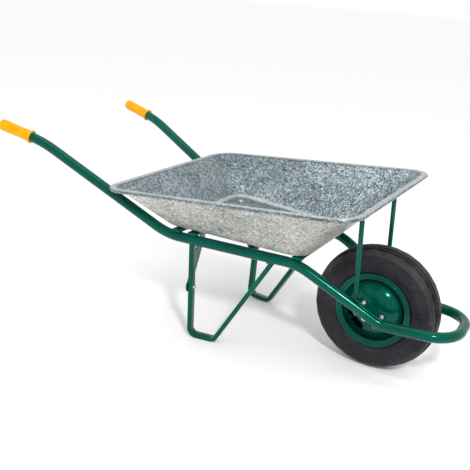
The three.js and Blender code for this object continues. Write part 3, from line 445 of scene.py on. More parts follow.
# The inside copy is painted darker and bluer than the outside as painted shade. The last stops of each call
# paint shade: a dark line in the crease under the flange inside, and a painted shadow under the bead outside.
zinc_inside_shaded = spangle(
    "galvanised_inside_shaded", (0.022, 0.046, 0.058), (0.118, 0.160, 0.178), (0.47, 0.54, 0.57), (0.18, 0.165, 0.155),
    0.40, [(0.50, 1.0), (0.62, 0.45), (0.72, 1.0)])
zinc_outside = spangle(
    "galvanised_outside", (0.16, 0.165, 0.158), (0.40, 0.405, 0.390), (0.80, 0.81, 0.79), (0.55, 0.49, 0.42),
    0.46, [(0.0, 1.0), (0.16, 0.35), (0.34, 0.35), (0.46, 1.0)])


def rounded_panel(mesh, rear, front, rear_half, front_half, corner, height):
    """A flat panel with rounded corners; height turns a level point into its place."""
    verts = [mesh.verts.new((x, y, 0)) for x, y in (
        (rear, -rear_half), (front, -front_half), (front, front_half), (rear, rear_half))]
    mesh.faces.new(verts)
    outline = round_off(mesh, verts, corner, 12, "VERTICES")
    for vert in outline:
        vert.co = height(vert.co)
    return outline


def loop_edges(verts):
    chosen = set(verts)
    return [edge for edge in edges_of(verts) if chosen.issuperset(edge.verts)]


tray = bmesh.new()
# This layer carries a painted highlight and wear along the floor's fold.
fold_wear_and_highlight_layer = tray.verts.layers.float.new("rubbed_fold")
floor_outline = rounded_panel(
    tray, floor_rear, floor_front, 0.232, 0.188, 0.052,
    lambda p: Vector((p.x, p.y, tray_floor_height - rail_fall * (p.x - shift))))
rim_outline = rounded_panel(
    tray, -rim_half_length, rim_half_length, rim_half_width, rim_half_width, 0.062,
    lambda p: Vector((shift + p.x * cos(rim_pitch), p.y, rim_height + p.x * sin(rim_pitch))))
rim_face = [f for f in tray.faces if all(v in set(rim_outline) for v in f.verts)]
bmesh.ops.delete(tray, geom=rim_face, context="FACES_ONLY")
floor_edges, rim_edges = loop_edges(floor_outline), loop_edges(rim_outline)
bmesh.ops.bridge_loops(tray, edges=floor_edges + rim_edges)


def spot(vert):
    """A vertex's place to the nearest micrometre, to know it by."""
    return tuple(round(c, 6) for c in vert.co)


def extrude_rim(mesh, edges, ways, out, up):
    """Grows the rim's open edge; ways holds each point's outward direction."""
    grown = bmesh.ops.extrude_edge_only(mesh, edges=edges)["geom"]
    fresh = {}
    for vert in verts_in(grown):
        way = ways[spot(vert)]
        vert.co += way * out + rim_up * up
        fresh[spot(vert)] = way
    return edges_in(grown), fresh


rim_ways = {}
for vert in rim_outline:
    pair = [e.other_vert(vert).co for e in vert.link_edges if e in set(rim_edges)]
    along = (pair[0] - pair[1]).normalized()
    way = along.cross(rim_up).normalized()
    if way.dot(vert.co - centre) < 0:
        way.negate()
    rim_ways[spot(vert)] = way
flange_width, bead_radius = 0.013, 0.006
lip_edges, rim_ways = extrude_rim(tray, rim_edges, rim_ways, flange_width, 0)
for step in range(14):
    before, after = radians(90 - 22.5 * step), radians(90 - 22.5 * (step + 1))
    outward = bead_radius * (cos(after) - cos(before))
    upward = bead_radius * (sin(after) - sin(before))
    lip_edges, rim_ways = extrude_rim(tray, lip_edges, rim_ways, outward, upward)
round_off(tray, rim_edges, 0.006, 5)
round_off(tray, floor_edges, 0.019, 8)
# Painted highlight and wear: a band of vertices round the floor's fold is marked, strongest in its middle.
ring = set(max(tray.faces, key=lambda face: len(face.verts)).verts)
reached = set(ring)
for share in (0.0, 0.1, 0.4, 0.9, 1.0, 0.9, 0.4, 0.1):
    for vert in ring:
        vert[fold_wear_and_highlight_layer] = share
    ring = {edge.other_vert(vert) for vert in ring for edge in vert.link_edges} - reached
    reached |= ring
drawn_tray = make_piece(tray, "drawn_tray", zinc_inside_shaded, "barrow", ["tray"], 60)
drawn_tray.data.materials.append(zinc_outside)
wall = drawn_tray.modifiers.new("wall", "SOLIDIFY")
wall.thickness = sheet
wall.offset = -1
wall.material_offset = 1
wall.material_offset_rim = 1


# The rim wire. A 6 mm galvanised steel wire that the tray's edge is rolled round, so
# it is shut in the bead all the way round; it keeps the sheet's plain zinc finish.
for wire_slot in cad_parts["tray_rim_wire"].material_slots:
    wire_slot.material = zinc_outside


# The legs. Each is one length of 25 by 15 mm rectangular tube, bent on a former
# into an upright, a foot and a strut; it leans in below the rail it is welded to.
leg_x, foot_front_x, strut_top_x = -0.05666, 0.03034, 0.21234
leg_width, leg_thickness = 0.025, 0.015
leg_lean = radians(3)
foot_height, leg_bend, brace_bolt_height = 0.0078, 0.024, 0.184


def side_frame(side):
    """The upright plane through one rail, with its X along the rail."""
    return Matrix.Translation((shift, side * mid_rail_half, 0)) @ Matrix.Rotation(-side * splay, 4, "Z")


def along(x):
    """How far along a rail's plane a place x is."""
    return (x - shift) / cos(splay)


def leg_frame(side):
    """The upright plane of one rail, leaning in about the rail's own line."""
    rail_line = Matrix.Translation((0, 0, mid_rail_height))
    return side_frame(side) @ rail_line @ Matrix.Rotation(-side * leg_lean, 4, "X") @ rail_line.inverted()


def strip_ring(mesh, thickness, width, place, radius):
    """A rounded rectangle of edges across the start of a strip."""
    corners = ((-1, -1), (1, -1), (1, 1), (-1, 1))
    verts = [mesh.verts.new((x * thickness / 2, y * width / 2, 0)) for x, y in corners]
    mesh.faces.new(verts)
    outline = round_off(mesh, verts, radius, 4, "VERTICES")
    ring = loop_edges(outline)
    bmesh.ops.delete(mesh, geom=list(mesh.faces), context="FACES_ONLY")
    bmesh.ops.transform(mesh, matrix=place, verts=outline)
    return ring


def lay_weld(mesh, points, radius=0.0022):
    """A run of weld: a row of small overlapping pools along a line."""
    line = [Vector(p) for p in points]
    stations = []
    for start, end in zip(line, line[1:]):
        count = max(1, round((end - start).length / (radius * 0.9)))
        stations += [start.lerp(end, step / count) for step in range(count)]
    for index, place in enumerate(stations + [line[-1]]):
        swell = radius * (1 + 0.14 * sin(index * 2.3) + 0.08 * sin(index * 5.1))
        bmesh.ops.create_icosphere(mesh, subdivisions=1, radius=swell, matrix=Matrix.Translation(place))


for hand, side in (("right", -1), ("left", 1)):
    leg = bmesh.new()
    to_leg = leg_frame(side)
    corners = [Vector((along(x), 0, z)) for x, z in (
        (leg_x, rail_height(leg_x) - 0.010), (leg_x, foot_height), (foot_front_x, foot_height),
        (strut_top_x, rail_height(strut_top_x) - 0.010))]
    top_place = facing(corners[0], corners[1] - corners[0], (1, 0, 0))
    ring = strip_ring(leg, leg_thickness, leg_width, top_place, 0.0028)
    end = run_along(leg, ring, corners, [0, leg_bend, leg_bend, 0], 16)
    bmesh.ops.edgeloop_fill(leg, edges=ring)
    bmesh.ops.edgeloop_fill(leg, edges=end)
    half = leg_width / 2
    for x, down, off_centre in ((leg_x, 0, 0.0080), (strut_top_x, 0.003, -0.0165)):
        top = rail_height(x) - tube_radius + 0.001 - down
        across = (-1, -0.5, 0, 0.5, 1)
        lay_weld(leg, [(along(x) + off_centre, half * k, top + 0.004 * k ** 2) for k in across])
    bmesh.ops.transform(leg, matrix=to_leg, verts=leg.verts)
    make_piece(leg, f"{hand}_bent_leg", green_paint, "barrow", [f"{hand}_leg"])


# The leg braces. A 40 by 4 mm strip behind each leg, bolted to it near its round lower
# end; it leans in, and its top is bent forward and welded under the middle cross bar.
brace_width, brace_sheet, brace_lean_in = 0.040, 0.004, 0.112
for hand, side in (("right", -1), ("left", 1)):
    start = side_frame(side).inverted() @ leg_frame(side) @ Vector((along(leg_x), 0, brace_bolt_height))
    under_bar = rail_height(leg_x) + tube_radius + 0.0002
    rise = under_bar - start.z
    bend = 0.007
    reach = Vector((-side * brace_lean_in, rise)).normalized()
    across = brace_width / 2 / reach.y
    share = (rise - bend) / rise
    brace = bmesh.new()
    normal = Vector((reach.y, -reach.x))
    lower = [reach * -brace_width / 2 + normal * brace_width / 2 * k for k in (-1, 1)]
    upper = [Vector((-side * brace_lean_in * share + k * across, rise - bend)) for k in (1, -1)]
    verts = [brace.verts.new((0, p.x, p.y)) for p in lower + upper]
    brace.faces.new(verts)
    round_off(brace, verts[:2], brace_width / 2 - 0.0002, 14, "VERTICES")
    fold = [e for e in brace.edges if all(v.co.z > 0.1 for v in e.verts)]
    folded = bmesh.ops.spin(
        brace, geom=fold + list(fold[0].verts), cent=(bend, 0, rise - bend), axis=(0, 1, 0), dvec=(0, 0, 0),
        angle=pi / 2, steps=8, use_duplicate=False)["geom_last"]
    tab_end = verts_in(bmesh.ops.extrude_edge_only(brace, edges=edges_in(folded))["geom"])
    bmesh.ops.translate(brace, vec=(0.028, 0, 0), verts=tab_end)
    round_off(brace, tab_end, 0.006, 5, "VERTICES")
    place = Matrix.Translation((start.x - leg_thickness / 2 - fit_gap - brace_sheet, start.y, start.z))
    bmesh.ops.transform(brace, matrix=side_frame(side) @ place, verts=brace.verts)
    piece = make_piece(brace, f"{hand}_brace_strip", green_paint, "barrow",
                       [f"{hand}_leg_brace"])
    outward = piece.data.polygons[0].normal.x < 0
    wall = piece.modifiers.new("wall", "SOLIDIFY")
    wall.thickness = brace_sheet
    wall.offset = -1 if outward else 1
    edge = piece.modifiers.new("broken_edge", "BEVEL")
    edge.width = 0.0007
    edge.segments = 2


# The axle brackets. An angle of 4 mm plate on each side: the flange sits on the falling
# run of the tube under two nuts, and the lug hangs inside it and holds the axle's end.
drop_angle = atan(tan(fall_angle) * cos(splay))
flange_height = tube_radius + fit_gap
plate, lug_face, lug_end = 0.004, 0.1, 0.014
bolt_places = (-0.028, 0.039)


def drop_frame(side, a, up):
    """A place on the falling run, a metres past the axle and up metres off its centre."""
    x = along(axle.x) + sin(drop_angle) * tube_over_axle + a * cos(drop_angle) + up * sin(drop_angle)
    z = axle.z + cos(drop_angle) * tube_over_axle - a * sin(drop_angle) + up * cos(drop_angle)
    return side_frame(side) @ Matrix.Translation((x, 0, z)) @ Matrix.Rotation(drop_angle, 4, "Y")


def lug_line(side, a, up):
    """Where the flange meets the lug's inner face."""
    local = side_frame(side).inverted() @ drop_frame(side, a, up).translation
    y = side * (lug_face - mid_rail_half + sin(splay) * local.x) / cos(splay)
    return y, side_frame(side) @ Vector((local.x, y, local.z))


def cut_plate(mesh, outline, thick, place, corners=(), radius=0.005):
    """A flat plate from its outline, with some corners rounded."""
    verts = [mesh.verts.new((x, y, 0)) for x, y in outline]
    mesh.faces.new(verts)
    if corners:
        round_off(mesh, [verts[k] for k in corners], radius, 8, "VERTICES")
    grown = bmesh.ops.extrude_face_region(mesh, geom=list(mesh.faces))["geom"]
    bmesh.ops.translate(mesh, vec=(0, 0, thick), verts=verts_in(grown))
    bmesh.ops.transform(mesh, matrix=place, verts=mesh.verts)


for hand, side in (("right", -1), ("left", 1)):
    ends = (bolt_places[0] - 0.013, bolt_places[1] + 0.013)
    flange, lug, bracket = bmesh.new(), bmesh.new(), bmesh.new()
    cut_plate(flange, [(ends[0], side * 0.015), (ends[1], side * 0.015),
                       (ends[1], lug_line(side, ends[1], flange_height)[0]),
                       (ends[0], lug_line(side, ends[0], flange_height)[0])],
              plate, drop_frame(side, 0, flange_height), (0, 1))
    rear, front = (lug_line(side, a, flange_height + 0.7 * plate)[1] for a in ends)
    turns = [pi + k * pi / 14 for k in range(15)]
    round_end = [(axle.x + lug_end * cos(t), axle.z + lug_end * sin(t)) for t in turns]
    outer_face = lug_face + plate if side > 0 else -lug_face
    cut_plate(lug, [(rear.x, rear.z)] + round_end + [(front.x, front.z)], plate,
              Matrix.Translation((0, outer_face, 0)) @ Matrix.Rotation(pi / 2, 4, "X"))
    for part in (flange, lug):
        data = bpy.data.meshes.new("plate")
        part.to_mesh(data)
        part.free()
        bracket.from_mesh(data)
        bpy.data.meshes.remove(data)
    lay_weld(bracket, [rear, rear.lerp(front, 0.5), front], 0.0016)
    piece = make_piece(bracket, f"{hand}_bracket_plate", green_paint, "barrow",
                       [f"{hand}_axle_bracket"])
    edge = piece.modifiers.new("broken_edge", "BEVEL")
    edge.width = 0.0006
    edge.segments = 2


# The front stays. Round 15 mm bar from the bracket's rear bolt up to the tray's front
# wall, hammered flat and bent at both ends so that a bolt can pass through.
stay_radius, stay_flat, stay_broad = 0.0075, 0.004, 0.022
wall_foot = Vector((floor_front, 0, tray_floor_height - rail_fall * (floor_front - shift)))
wall_head = centre + rim_half_length * Vector((cos(rim_pitch), 0, sin(rim_pitch)))
wall_way = (wall_head - wall_foot).normalized()
wall_out = Vector((wall_way.z, 0, -wall_way.x))


def wall_point(x):
    return wall_foot + wall_way * ((x - wall_foot.x) / wall_way.x)


def boxed(share):
    """Pushes a point of a round outline out towards a rectangle's side."""
    return abs(share) ** 0.45 * (1 if share > 0 else -1)


stay_top_x = axle.x - 0.040
for hand, side in (("right", -1), ("left", 1)):
    across_rail = side_frame(side).to_3x3() @ Vector((0, 1, 0))
    level_way = Vector((0, 1, 0))
    foot_face = drop_frame(side, 0, 0).to_3x3() @ Vector((0, 0, 1))
    foot_way = drop_frame(side, 0, 0).to_3x3() @ Vector((1, 0, 0))
    tab_height = flange_height + plate + fit_gap + stay_flat / 2

    def tab_place(up):
        at = wall_point(stay_top_x) + wall_way * up + wall_out * (sheet + fit_gap + stay_flat / 2)
        return on_rail(side, at.x, at.z)

    top_corner = tab_place(0)
    foot_corner = drop_frame(side, bolt_places[0] - 0.026, tab_height).translation
    down = (foot_corner - top_corner).normalized()
    forward = down.cross(across_rail)
    length = (foot_corner - top_corner).length
    sections = [(tab_place(up), level_way, wall_out, 1, w) for up, w in (
        (0.0345, 0.35), (0.0338, 0.62), (0.0318, 0.84), (0.0285, 0.96), (0.024, 1), (0.006, 1), (0.003, 1))]
    for below, face, flat in ((0.0006, 0.5, 1), (0.003, 0.8, 0.97), (0.006, 1, 0.82), (0.009, 1, 0.5),
                              (0.013, 1, 0.2), (0.017, 1, 0), (0.020, 1, 0)):
        thick = wall_out.lerp(forward, face).normalized()
        wide = level_way.lerp(across_rail, face).normalized()
        sections.append((top_corner + down * below, wide, thick, flat, 1))
    for short, face, flat in ((0.033, 0, 0), (0.030, 0, 0), (0.022, 0, 0.2), (0.015, 0, 0.5),
                              (0.009, 0, 0.82), (0.004, 0.2, 0.97), (0.0006, 0.5, 1)):
        sections.append((top_corner + down * (length - short), across_rail,
                         forward.lerp(foot_face, face).normalized(), flat, 1))
    for on, w in ((0.003, 1), (0.006, 1), (0.028, 1), (0.0325, 0.96), (0.0358, 0.84), (0.0378, 0.62),
                  (0.0385, 0.35)):
        sections.append((foot_corner + foot_way * on, across_rail, foot_face, 1, w))
    stay = bmesh.new()
    ring_verts = bmesh.ops.create_circle(stay, segments=24, radius=1)["verts"]
    ring = edges_of(ring_verts)
    stay_first = ring
    angles = {v: atan2(v.co.y, v.co.x) for v in ring_verts}
    for number, (place, width, thick, flat, narrow) in enumerate(sections):
        if number:
            grown = bmesh.ops.extrude_edge_only(stay, edges=ring)["geom"]
            ring = edges_in(grown)
            turns = {spot(v): t for v, t in angles.items()}
            angles = {v: turns[spot(v)] for v in verts_in(grown)}
        for vert, t in angles.items():
            x = stay_radius * cos(t) * (1 - flat) + boxed(cos(t)) * stay_broad / 2 * flat * narrow
            y = stay_radius * sin(t) * (1 - flat) + boxed(sin(t)) * stay_flat / 2 * flat
            vert.co = place + width * x + thick * y
    bmesh.ops.edgeloop_fill(stay, edges=stay_first)
    bmesh.ops.edgeloop_fill(stay, edges=ring)
    make_piece(stay, f"{hand}_stay_bar", green_paint, "barrow", [f"{hand}_front_stay"], 50)


# The fasteners. M8 cup bolts, hex bolts and nuts, zinc plated, which hold the tray, the
# braces, the stays and the axle brackets; each thread stands a few turns proud of its nut.
def plated(name, colour, rough):
    material, shader, node, link = new_finish(name)
    place = node("ShaderNodeTexCoord").outputs["Object"]
    dull = node("ShaderNodeTexNoise", {"Scale": 160.0, "Detail": 4.0, "Roughness": 0.65}, in0=place)
    tool = node("ShaderNodeTexNoise", {"Scale": 900.0, "Detail": 2.0}, in0=place)
    dulled, polished = (tuple(min(1, share * c) for c in colour) for share in (0.55, 1.15))
    tone = ramp(node, dull.outputs["Fac"], [(0.30, dulled), (0.55, colour), (0.80, polished)])
    link(tone, shader.inputs["Base Color"])
    link(ramp(node, dull.outputs["Fac"], [(0.3, rough + 0.2), (0.7, rough)]), shader.inputs["Roughness"])
    shader.inputs["Metallic"].default_value = 0.95
    skin = node("ShaderNodeBump", {"Strength": 0.15, "Distance": 0.0003})
    link(tool.outputs["Fac"], skin.inputs["Height"])
    link(skin.outputs["Normal"], shader.inputs["Normal"])
    return material


bright_zinc = plated("bright_zinc", (0.68, 0.69, 0.70), 0.26)
turned_steel = plated("turned_steel", (0.40, 0.39, 0.38), 0.30)


bolt_radius, thread_pitch = 0.004, 0.00125


def thread(low, high):
    """The profile of a threaded shank."""
    core = bolt_radius - 0.0007
    points = [(0, low), (core - 0.0001, low)]
    for turn_number in range(int((high - low) / thread_pitch)):
        z = low + 0.0003 + turn_number * thread_pitch
        points += [(core, z), (bolt_radius, z + thread_pitch * 0.4), (bolt_radius, z + thread_pitch * 0.6)]
    return points + [(core, high), (0, high)]


def cup_bolt(place, length, height):
    bolt = bmesh.new()
    head = [(0.0, height), (0.003, 0.97 * height), (0.0055, 0.84 * height), (0.0075, 0.58 * height),
            (0.0086, 0.3 * height), (0.0090, 0.12 * height), (0.0090, 0.0002), (0.0086, 0.0), (0.0, 0.0)]
    spun(bolt, head, place, 40)
    spun(bolt, thread(-length, -0.0001), place, 24)
    return bolt


def hex_solid(mesh, place, radius, height):
    """A hexagon with its corners turned off to a cone."""
    made = bmesh.ops.create_circle(mesh, cap_ends=True, segments=6, radius=radius)["verts"]
    low_face = [f for f in made[0].link_faces if len(f.verts) == 6]
    grown = bmesh.ops.extrude_face_region(mesh, geom=low_face)["geom"]
    high = verts_in(grown)
    bmesh.ops.translate(mesh, vec=(0, 0, height), verts=high)
    for end_verts in (high, made):
        round_off(mesh, end_verts, 0.0016, 3, "VERTICES")
    bmesh.ops.transform(mesh, matrix=place, verts=mesh.verts)


def nut_piece(place, radius=0.0075, height=0.0065, bore=0.0043):
    nut = bmesh.new()
    hex_solid(nut, Matrix(), radius, height)
    face = height + 0.00005
    spun(nut, [(bore, face), (bore + 0.0012, face + 0.0002), (bore + 0.0016, face)], Matrix(), 24)
    bmesh.ops.transform(nut, matrix=place, verts=nut.verts)
    return nut


over = Matrix.Rotation(pi, 4, "X")
for end_name, bar_name, part in (("rear", "rear_cross_bar", 0.73), ("front", "front_cross_bar", 0.75)):
    x = bars[bar_name]
    for hand, side in (("right", -1), ("left", 1)):
        at = deck @ Matrix.Translation((x, side * part * rail_spacing(x), 0))
        top = bar_thickness + sheet + 2 * fit_gap
        bolt = cup_bolt(at @ Matrix.Translation((0, 0, top)), top + 0.0105, 0.004)
        make_piece(bolt, f"tray_cup_bolt_{end_name}_{hand}", bright_zinc, "barrow",
                   [f"tray_bolt_{end_name}_{hand}"])
        nut = nut_piece(at @ Matrix.Translation((0, 0, -fit_gap)) @ over)
        make_piece(nut, f"tray_hex_nut_{end_name}_{hand}", bright_zinc, "barrow",
                   [f"tray_nut_{end_name}_{hand}"])

for hand, side in (("right", -1), ("left", 1)):
    hole = Matrix.Translation((along(leg_x), 0, brace_bolt_height))
    at = leg_frame(side) @ hole @ Matrix.Rotation(pi / 2, 4, "Y")
    head_place = at @ Matrix.Translation((0, 0, leg_thickness / 2 + fit_gap))
    bolt = bmesh.new()
    hex_solid(bolt, head_place, 0.0075, 0.0053)
    spun(bolt, thread(-0.020, -0.0001), head_place, 24)
    make_piece(bolt, f"brace_hex_bolt_{hand}", bright_zinc, "barrow", [f"brace_bolt_{hand}"])
    nut = nut_piece(at @ Matrix.Translation((0, 0, -leg_thickness / 2 - brace_sheet - 2 * fit_gap)) @ over)
    make_piece(nut, f"brace_hex_nut_{hand}", bright_zinc, "barrow", [f"brace_nut_{hand}"])

    tilt = Matrix.Rotation(atan2(wall_out.x, wall_out.z), 4, "Y")
    hole = wall_point(stay_top_x + 0.022 * wall_way.x)
    at = Matrix.Translation(on_rail(side, hole.x, hole.z)) @ tilt
    bolt = cup_bolt(at @ Matrix.Translation((0, 0, -fit_gap)) @ over, 0.0169, 0.004)
    make_piece(bolt, f"stay_cup_bolt_{hand}", bright_zinc, "barrow", [f"stay_bolt_{hand}"])
    nut = nut_piece(at @ Matrix.Translation((0, 0, sheet + stay_flat + 2 * fit_gap)))
    make_piece(nut, f"stay_hex_nut_{hand}", bright_zinc, "barrow", [f"stay_nut_{hand}"])

    flange_top = flange_height + plate + fit_gap
    seats = (flange_top + stay_flat + fit_gap, flange_top)
    for end_name, a, seat in zip(("rear", "front"), bolt_places, seats):
        low = drop_frame(side, a, -flange_height) @ over
        bolt = cup_bolt(low, flange_height + seat + 0.0095, 0.0035)
        make_piece(bolt, f"bracket_cup_bolt_{end_name}_{hand}", bright_zinc, "barrow",
                   [f"bracket_bolt_{end_name}_{hand}"])
        nut = nut_piece(drop_frame(side, a, seat))
        make_piece(nut, f"bracket_hex_nut_{end_name}_{hand}", bright_zinc, "barrow",
                   [f"bracket_nut_{end_name}_{hand}"])


# The tyre. A 400 mm four-ply rubber tyre, seated on the rim's lips: deep grooves run round
# the crown and fine ones down the shoulders, and its sidewalls are dusty and scuffed.
def scuffed_rubber(name, dark, light, rough):
    material, shader, node, link = new_finish(name)
    place = node("ShaderNodeTexCoord").outputs["Object"]
    dirt = node("ShaderNodeTexNoise", {"Scale": 16.0, "Detail": 8.0, "Roughness": 0.7}, in0=place)
    scratch = node("ShaderNodeTexNoise", {"Scale": 95.0, "Detail": 6.0, "Roughness": 0.75}, in0=place)
    grain = node("ShaderNodeTexNoise", {"Scale": 1200.0, "Detail": 2.0}, in0=place)
    dusty = tuple(2.1 * c for c in light)
    tone = ramp(node, dirt.outputs["Fac"], [(0.36, dark), (0.58, light), (0.74, dusty)])
    rub = node("ShaderNodeMix", {"data_type": "RGBA"})
    link(ramp(node, scratch.outputs["Fac"], [(0.54, 0.0), (0.72, 0.60)]), rub.inputs["Factor"])
    link(tone, rub.inputs["A"])
    rub.inputs["B"].default_value = (0.066, 0.058, 0.066, 1)
    link(rub.outputs["Result"], shader.inputs["Base Color"])
    gloss = ramp(node, scratch.outputs["Fac"], [(0.35, rough - 0.06), (0.7, rough + 0.20)])
    link(gloss, shader.inputs["Roughness"])
    shader.inputs["Specular IOR Level"].default_value = 0.24
    skin = node("ShaderNodeBump", {"Strength": 0.3, "Distance": 0.0006})
    link(grain.outputs["Fac"], skin.inputs["Height"])
    wear = node("ShaderNodeBump", {"Strength": 0.18, "Distance": 0.0015})
    link(scratch.outputs["Fac"], wear.inputs["Height"])
    link(skin.outputs["Normal"], wear.inputs["Normal"])
    link(wear.outputs["Normal"], shader.inputs["Normal"])
    return material


tyre_rubber = scuffed_rubber("tyre_rubber", (0.0032, 0.0030, 0.0052), (0.0125, 0.0110, 0.0165), 0.44)
on_axle = Matrix.Translation(axle) @ Matrix.Rotation(-pi / 2, 4, "X")


def sidewall(turn, sunk=0.0):
    """A point on the tyre's round outside, from the sidewall (0) to the crown (90 degrees)."""
    share = 2 / 2.15
    return 0.146 + (0.054 - sunk) * sin(turn) ** share, (0.055 - sunk) * cos(turn) ** share


# Each groove's middle and half its width, in degrees, and its depth.
grooves = [(36, 1.0, 0.0010), (41, 1.0, 0.0012), (46, 1.0, 0.0014), (52, 1.6, 0.0034), (63, 1.9, 0.0042),
           (76, 2.0, 0.0045)]
outer_half = [
    (0.1023, 0.0440), (0.1100, 0.0445), (0.1190, 0.0446), (0.1222, 0.0452), (0.1250, 0.0480),
    (0.1268, 0.0498), (0.1276, 0.0497), (0.1290, 0.0503), (0.1330, 0.0522), (0.1390, 0.0540),
    (0.1440, 0.0545), (0.1447, 0.05495), (0.1459, 0.05495)]
outer_half += [sidewall(radians(turn)) for turn in (4, 8, 12, 16, 20, 24)]
outer_half += [(0.1762, 0.0489), (0.1772, 0.0488)]
outer_half += [sidewall(radians(turn)) for turn in (28, 31)]
for middle, half_width, depth in grooves:
    for off_middle, sunk in ((-1, 0), (-0.7, depth), (0.7, depth), (1, 0)):
        outer_half.append(sidewall(radians(middle + off_middle * half_width), sunk))
outer_half += [sidewall(radians(84)), sidewall(radians(90))]
inner_half = [(0.1023, 0.0375), (0.1180, 0.0376), (0.1270, 0.0420), (0.1400, 0.0468), (0.1650, 0.0440),
              (0.1800, 0.0340), (0.1880, 0.0200), (0.1900, 0.0)]
tyre = bmesh.new()
tyre_profile = [(r, -y) for r, y in outer_half] + [(r, y) for r, y in reversed(outer_half[:-1])]
tyre_profile += inner_half + [(r, -y) for r, y in reversed(inner_half[:-1])]
spun(tyre, tyre_profile, on_axle, 160, closed=True)
make_piece(tyre, "ribbed_tyre", tyre_rubber, "wheel", ["tyre"], 50)


# The inner tube. A soft butyl tube, blown up to fill the tyre over the rim's well and
# held by nothing but its own air; its skin is duller and greyer than the tyre's.
butyl = scuffed_rubber("butyl_tube", (0.010, 0.010, 0.011), (0.028, 0.027, 0.028), 0.55)
for tube_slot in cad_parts["inner_tube"].material_slots:
    tube_slot.material = butyl


# The rim and discs. A rolled steel rim with turned-over lips, closed by two pressed
# domes; the right one has a kidney-shaped window that gives a hand room at the valve.
rim = bmesh.new()
rim_outer = [
    (0.0946, 0.0), (0.0946, 0.0200), (0.0956, 0.0212), (0.1008, 0.0258), (0.1020, 0.0272),
    (0.1020, 0.0436), (0.1032, 0.0447), (0.1160, 0.0448), (0.1190, 0.0452), (0.1204, 0.0462),
    (0.1210, 0.0474), (0.1206, 0.0482), (0.1190, 0.0485), (0.1165, 0.0482), (0.1135, 0.0474),
    (0.1120, 0.0464), (0.1108, 0.0458), (0.1098, 0.0466), (0.1080, 0.0468), (0.1040, 0.0462),
    (0.1014, 0.0448), (0.1000, 0.0425), (0.0995, 0.0390), (0.0995, 0.0285), (0.0985, 0.0268),
    (0.0935, 0.0228), (0.0922, 0.0205), (0.0922, 0.0)]
spun(rim, rim_outer + [(r, -y) for r, y in reversed(rim_outer[1:-1])], on_axle, 160, closed=True)
make_piece(rim, "rolled_rim", green_paint, "wheel", ["wheel_rim"], 60)

disc_half = [
    (0.0920, 0.0180), (0.0920, 0.0262), (0.0916, 0.0276), (0.0904, 0.0290), (0.0880, 0.0322),
    (0.0842, 0.0368), (0.0790, 0.0420), (0.0725, 0.0472), (0.0650, 0.0518), (0.0560, 0.0556),
    (0.0460, 0.0583), (0.0360, 0.0600), (0.0290, 0.0607), (0.0240, 0.0610), (0.0193, 0.0610)]
window_turn, window_radius, window_half = 1.5 * pi - 4 * 2 * pi / 28, 0.068, 0.017
window_spread = radians(20)
for hand, side in (("right", -1), ("left", 1)):
    disc = bmesh.new()
    spun(disc, [(r, side * y) for r, y in disc_half], on_axle, 144)
    if side < 0:
        cutter = bmesh.new()
        outline = []
        low_turn, high_turn = window_turn - window_spread, window_turn + window_spread
        for arc_turn, arc_out, arc_radius, first, last in (
                (0, 0, window_radius + window_half, low_turn, high_turn),
                (high_turn, window_radius, window_half, high_turn, high_turn + pi),
                (0, 0, window_radius - window_half, high_turn, low_turn),
                (low_turn, window_radius, window_half, low_turn + pi, low_turn + 2 * pi)):
            for k in range(16):
                t = first + (last - first) * k / 16
                outline.append((arc_out * cos(arc_turn) + arc_radius * cos(t),
                                arc_out * sin(arc_turn) + arc_radius * sin(t)))
        cut_plate(cutter, outline, 0.09, Matrix.Translation(axle) @ Matrix.Rotation(pi / 2, 4, "X"))
        bmesh.ops.recalc_face_normals(cutter, faces=cutter.faces)
        cutter_data = bpy.data.meshes.new("window_cutter")
        cutter.to_mesh(cutter_data)
        cutter.free()
        window = bpy.data.objects.new("window_cutter", cutter_data)
        bpy.context.collection.objects.link(window)
    bmesh.ops.recalc_face_normals(disc, faces=disc.faces)
    if sum(f.normal.y * side for f in disc.faces) < 0:
        bmesh.ops.reverse_faces(disc, faces=disc.faces)
    data = bpy.data.meshes.new(f"{hand}_dome")
    disc.to_mesh(data)
    disc.free()
    dome = bpy.data.objects.new(f"{hand}_dome", data)
    bpy.context.collection.objects.link(dome)
    skin = dome.modifiers.new("skin", "SOLIDIFY")
    skin.thickness = 0.002
    skin.offset = -1
    if side < 0:
        hole = dome.modifiers.new("window", "BOOLEAN")
        hole.operation = "DIFFERENCE"
        hole.solver = "EXACT"
        hole.object = window
    bpy.context.view_layer.update()
    shaped = bpy.data.meshes.new_from_object(dome.evaluated_get(bpy.context.evaluated_depsgraph_get()))
    finished = bmesh.new()
    finished.from_mesh(shaped)
    bpy.data.objects.remove(dome)
    if side < 0:
        bpy.data.objects.remove(window)
    make_piece(finished, f"{hand}_domed_disc", green_paint, "wheel",
               [f"{hand}_wheel_disc"], 40)


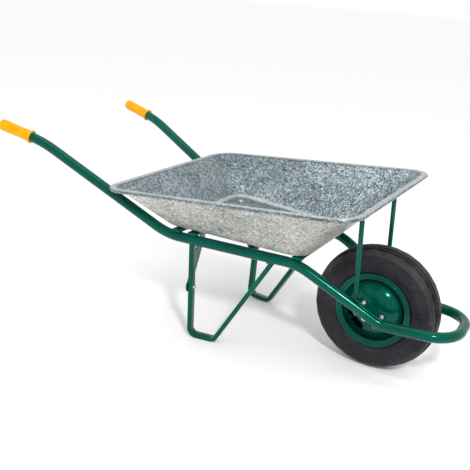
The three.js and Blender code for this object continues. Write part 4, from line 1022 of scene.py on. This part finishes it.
# The hub and axle. A hub tube between the domes holds a ball bearing at each end; the
# fixed axle runs through them, with a spacer sleeve and a locking nut on either side.
greased = plated("greased_steel", (0.16, 0.12, 0.09), 0.34)
hub = bmesh.new()
spun(hub, [(0.0163, -0.062), (0.0184, -0.062), (0.0190, -0.0614), (0.0190, 0.0614), (0.0184, 0.062),
           (0.0163, 0.062)], on_axle, 64, closed=True)
make_piece(hub, "hub_sleeve", green_paint, "wheel", ["hub_tube"])
for hand, side in (("right", -1), ("left", 1)):
    outward = on_axle @ (Matrix() if side > 0 else over)
    bearing = bmesh.new()
    spun(bearing, [
        (0.0078, 0.0525), (0.0082, 0.052), (0.0155, 0.052), (0.0160, 0.0525), (0.0160, 0.0605),
        (0.0155, 0.0610), (0.0137, 0.0610), (0.0135, 0.0603), (0.0106, 0.0603), (0.0104, 0.0610),
        (0.0082, 0.0610), (0.0078, 0.0605)], outward, 64, closed=True)
    make_piece(bearing, f"{hand}_ball_bearing", greased, "wheel", [f"{hand}_bearing"])
    spacer = bmesh.new()
    spun(spacer, [(0.0079, 0.0613), (0.0100, 0.0613), (0.0105, 0.0618), (0.0105, 0.0992), (0.0100, 0.0997),
                  (0.0079, 0.0997)], outward, 48, closed=True)
    make_piece(spacer, f"{hand}_spacer_sleeve", bright_zinc, "barrow", [f"{hand}_axle_spacer"])
    nut = nut_piece(outward @ Matrix.Translation((0, 0, 0.1043)), 0.011, 0.010, 0.0063)
    make_piece(nut, f"{hand}_locking_nut", bright_zinc, "barrow", [f"{hand}_axle_nut"])
shaft = bmesh.new()
spun(shaft, [(0, -0.1183), (0.0052, -0.1183), (0.0060, -0.1175), (0.0060, -0.0990), (0.0070, -0.0990),
             (0.0075, -0.0985), (0.0075, 0.0985), (0.0070, 0.0990), (0.0060, 0.0990), (0.0060, 0.1175),
             (0.0052, 0.1183), (0, 0.1183)], on_axle, 48)
make_piece(shaft, "axle_shaft", turned_steel, "barrow", ["axle"])


# The valve. A short rubber stem that comes through the rim's well, with a pale plated
# dust cap screwed on; both are reached through the window in the right disc.
valve_rubber = scuffed_rubber("valve_rubber", (0.012, 0.011, 0.011), (0.024, 0.022, 0.021), 0.5)
valve_way = Matrix.Translation(axle) @ Matrix.Rotation(pi / 2 - window_turn, 4, "Y")
stem = bmesh.new()
spun(stem, [(0, 0.107), (0.0066, 0.107), (0.0070, 0.1066), (0.0070, 0.1052), (0.0044, 0.1048),
            (0.0042, 0.104), (0.0042, 0.093), (0.0040, 0.088), (0.0034, 0.0845), (0.0026, 0.084),
            (0.0026, 0.076), (0, 0.076)], valve_way, 32)
make_piece(stem, "valve_stem_rubber", valve_rubber, "wheel", ["valve_stem"])
pale_cap = plated("nickel_cap", (0.86, 0.86, 0.83), 0.35)
pale_cap.node_tree.nodes["Principled BSDF"].inputs["Metallic"].default_value = 0.35
cap = bmesh.new()
spun(cap, [(0, 0.0732), (0.0030, 0.0732), (0.0036, 0.0736), (0.0039, 0.0745), (0.0041, 0.0760),
           (0.0041, 0.0830), (0.0038, 0.0836), (0.0029, 0.0836), (0.0029, 0.0758), (0, 0.0757)], valve_way, 20)
make_piece(cap, "valve_dust_cap", pale_cap, "wheel", ["valve_cap"], 20)
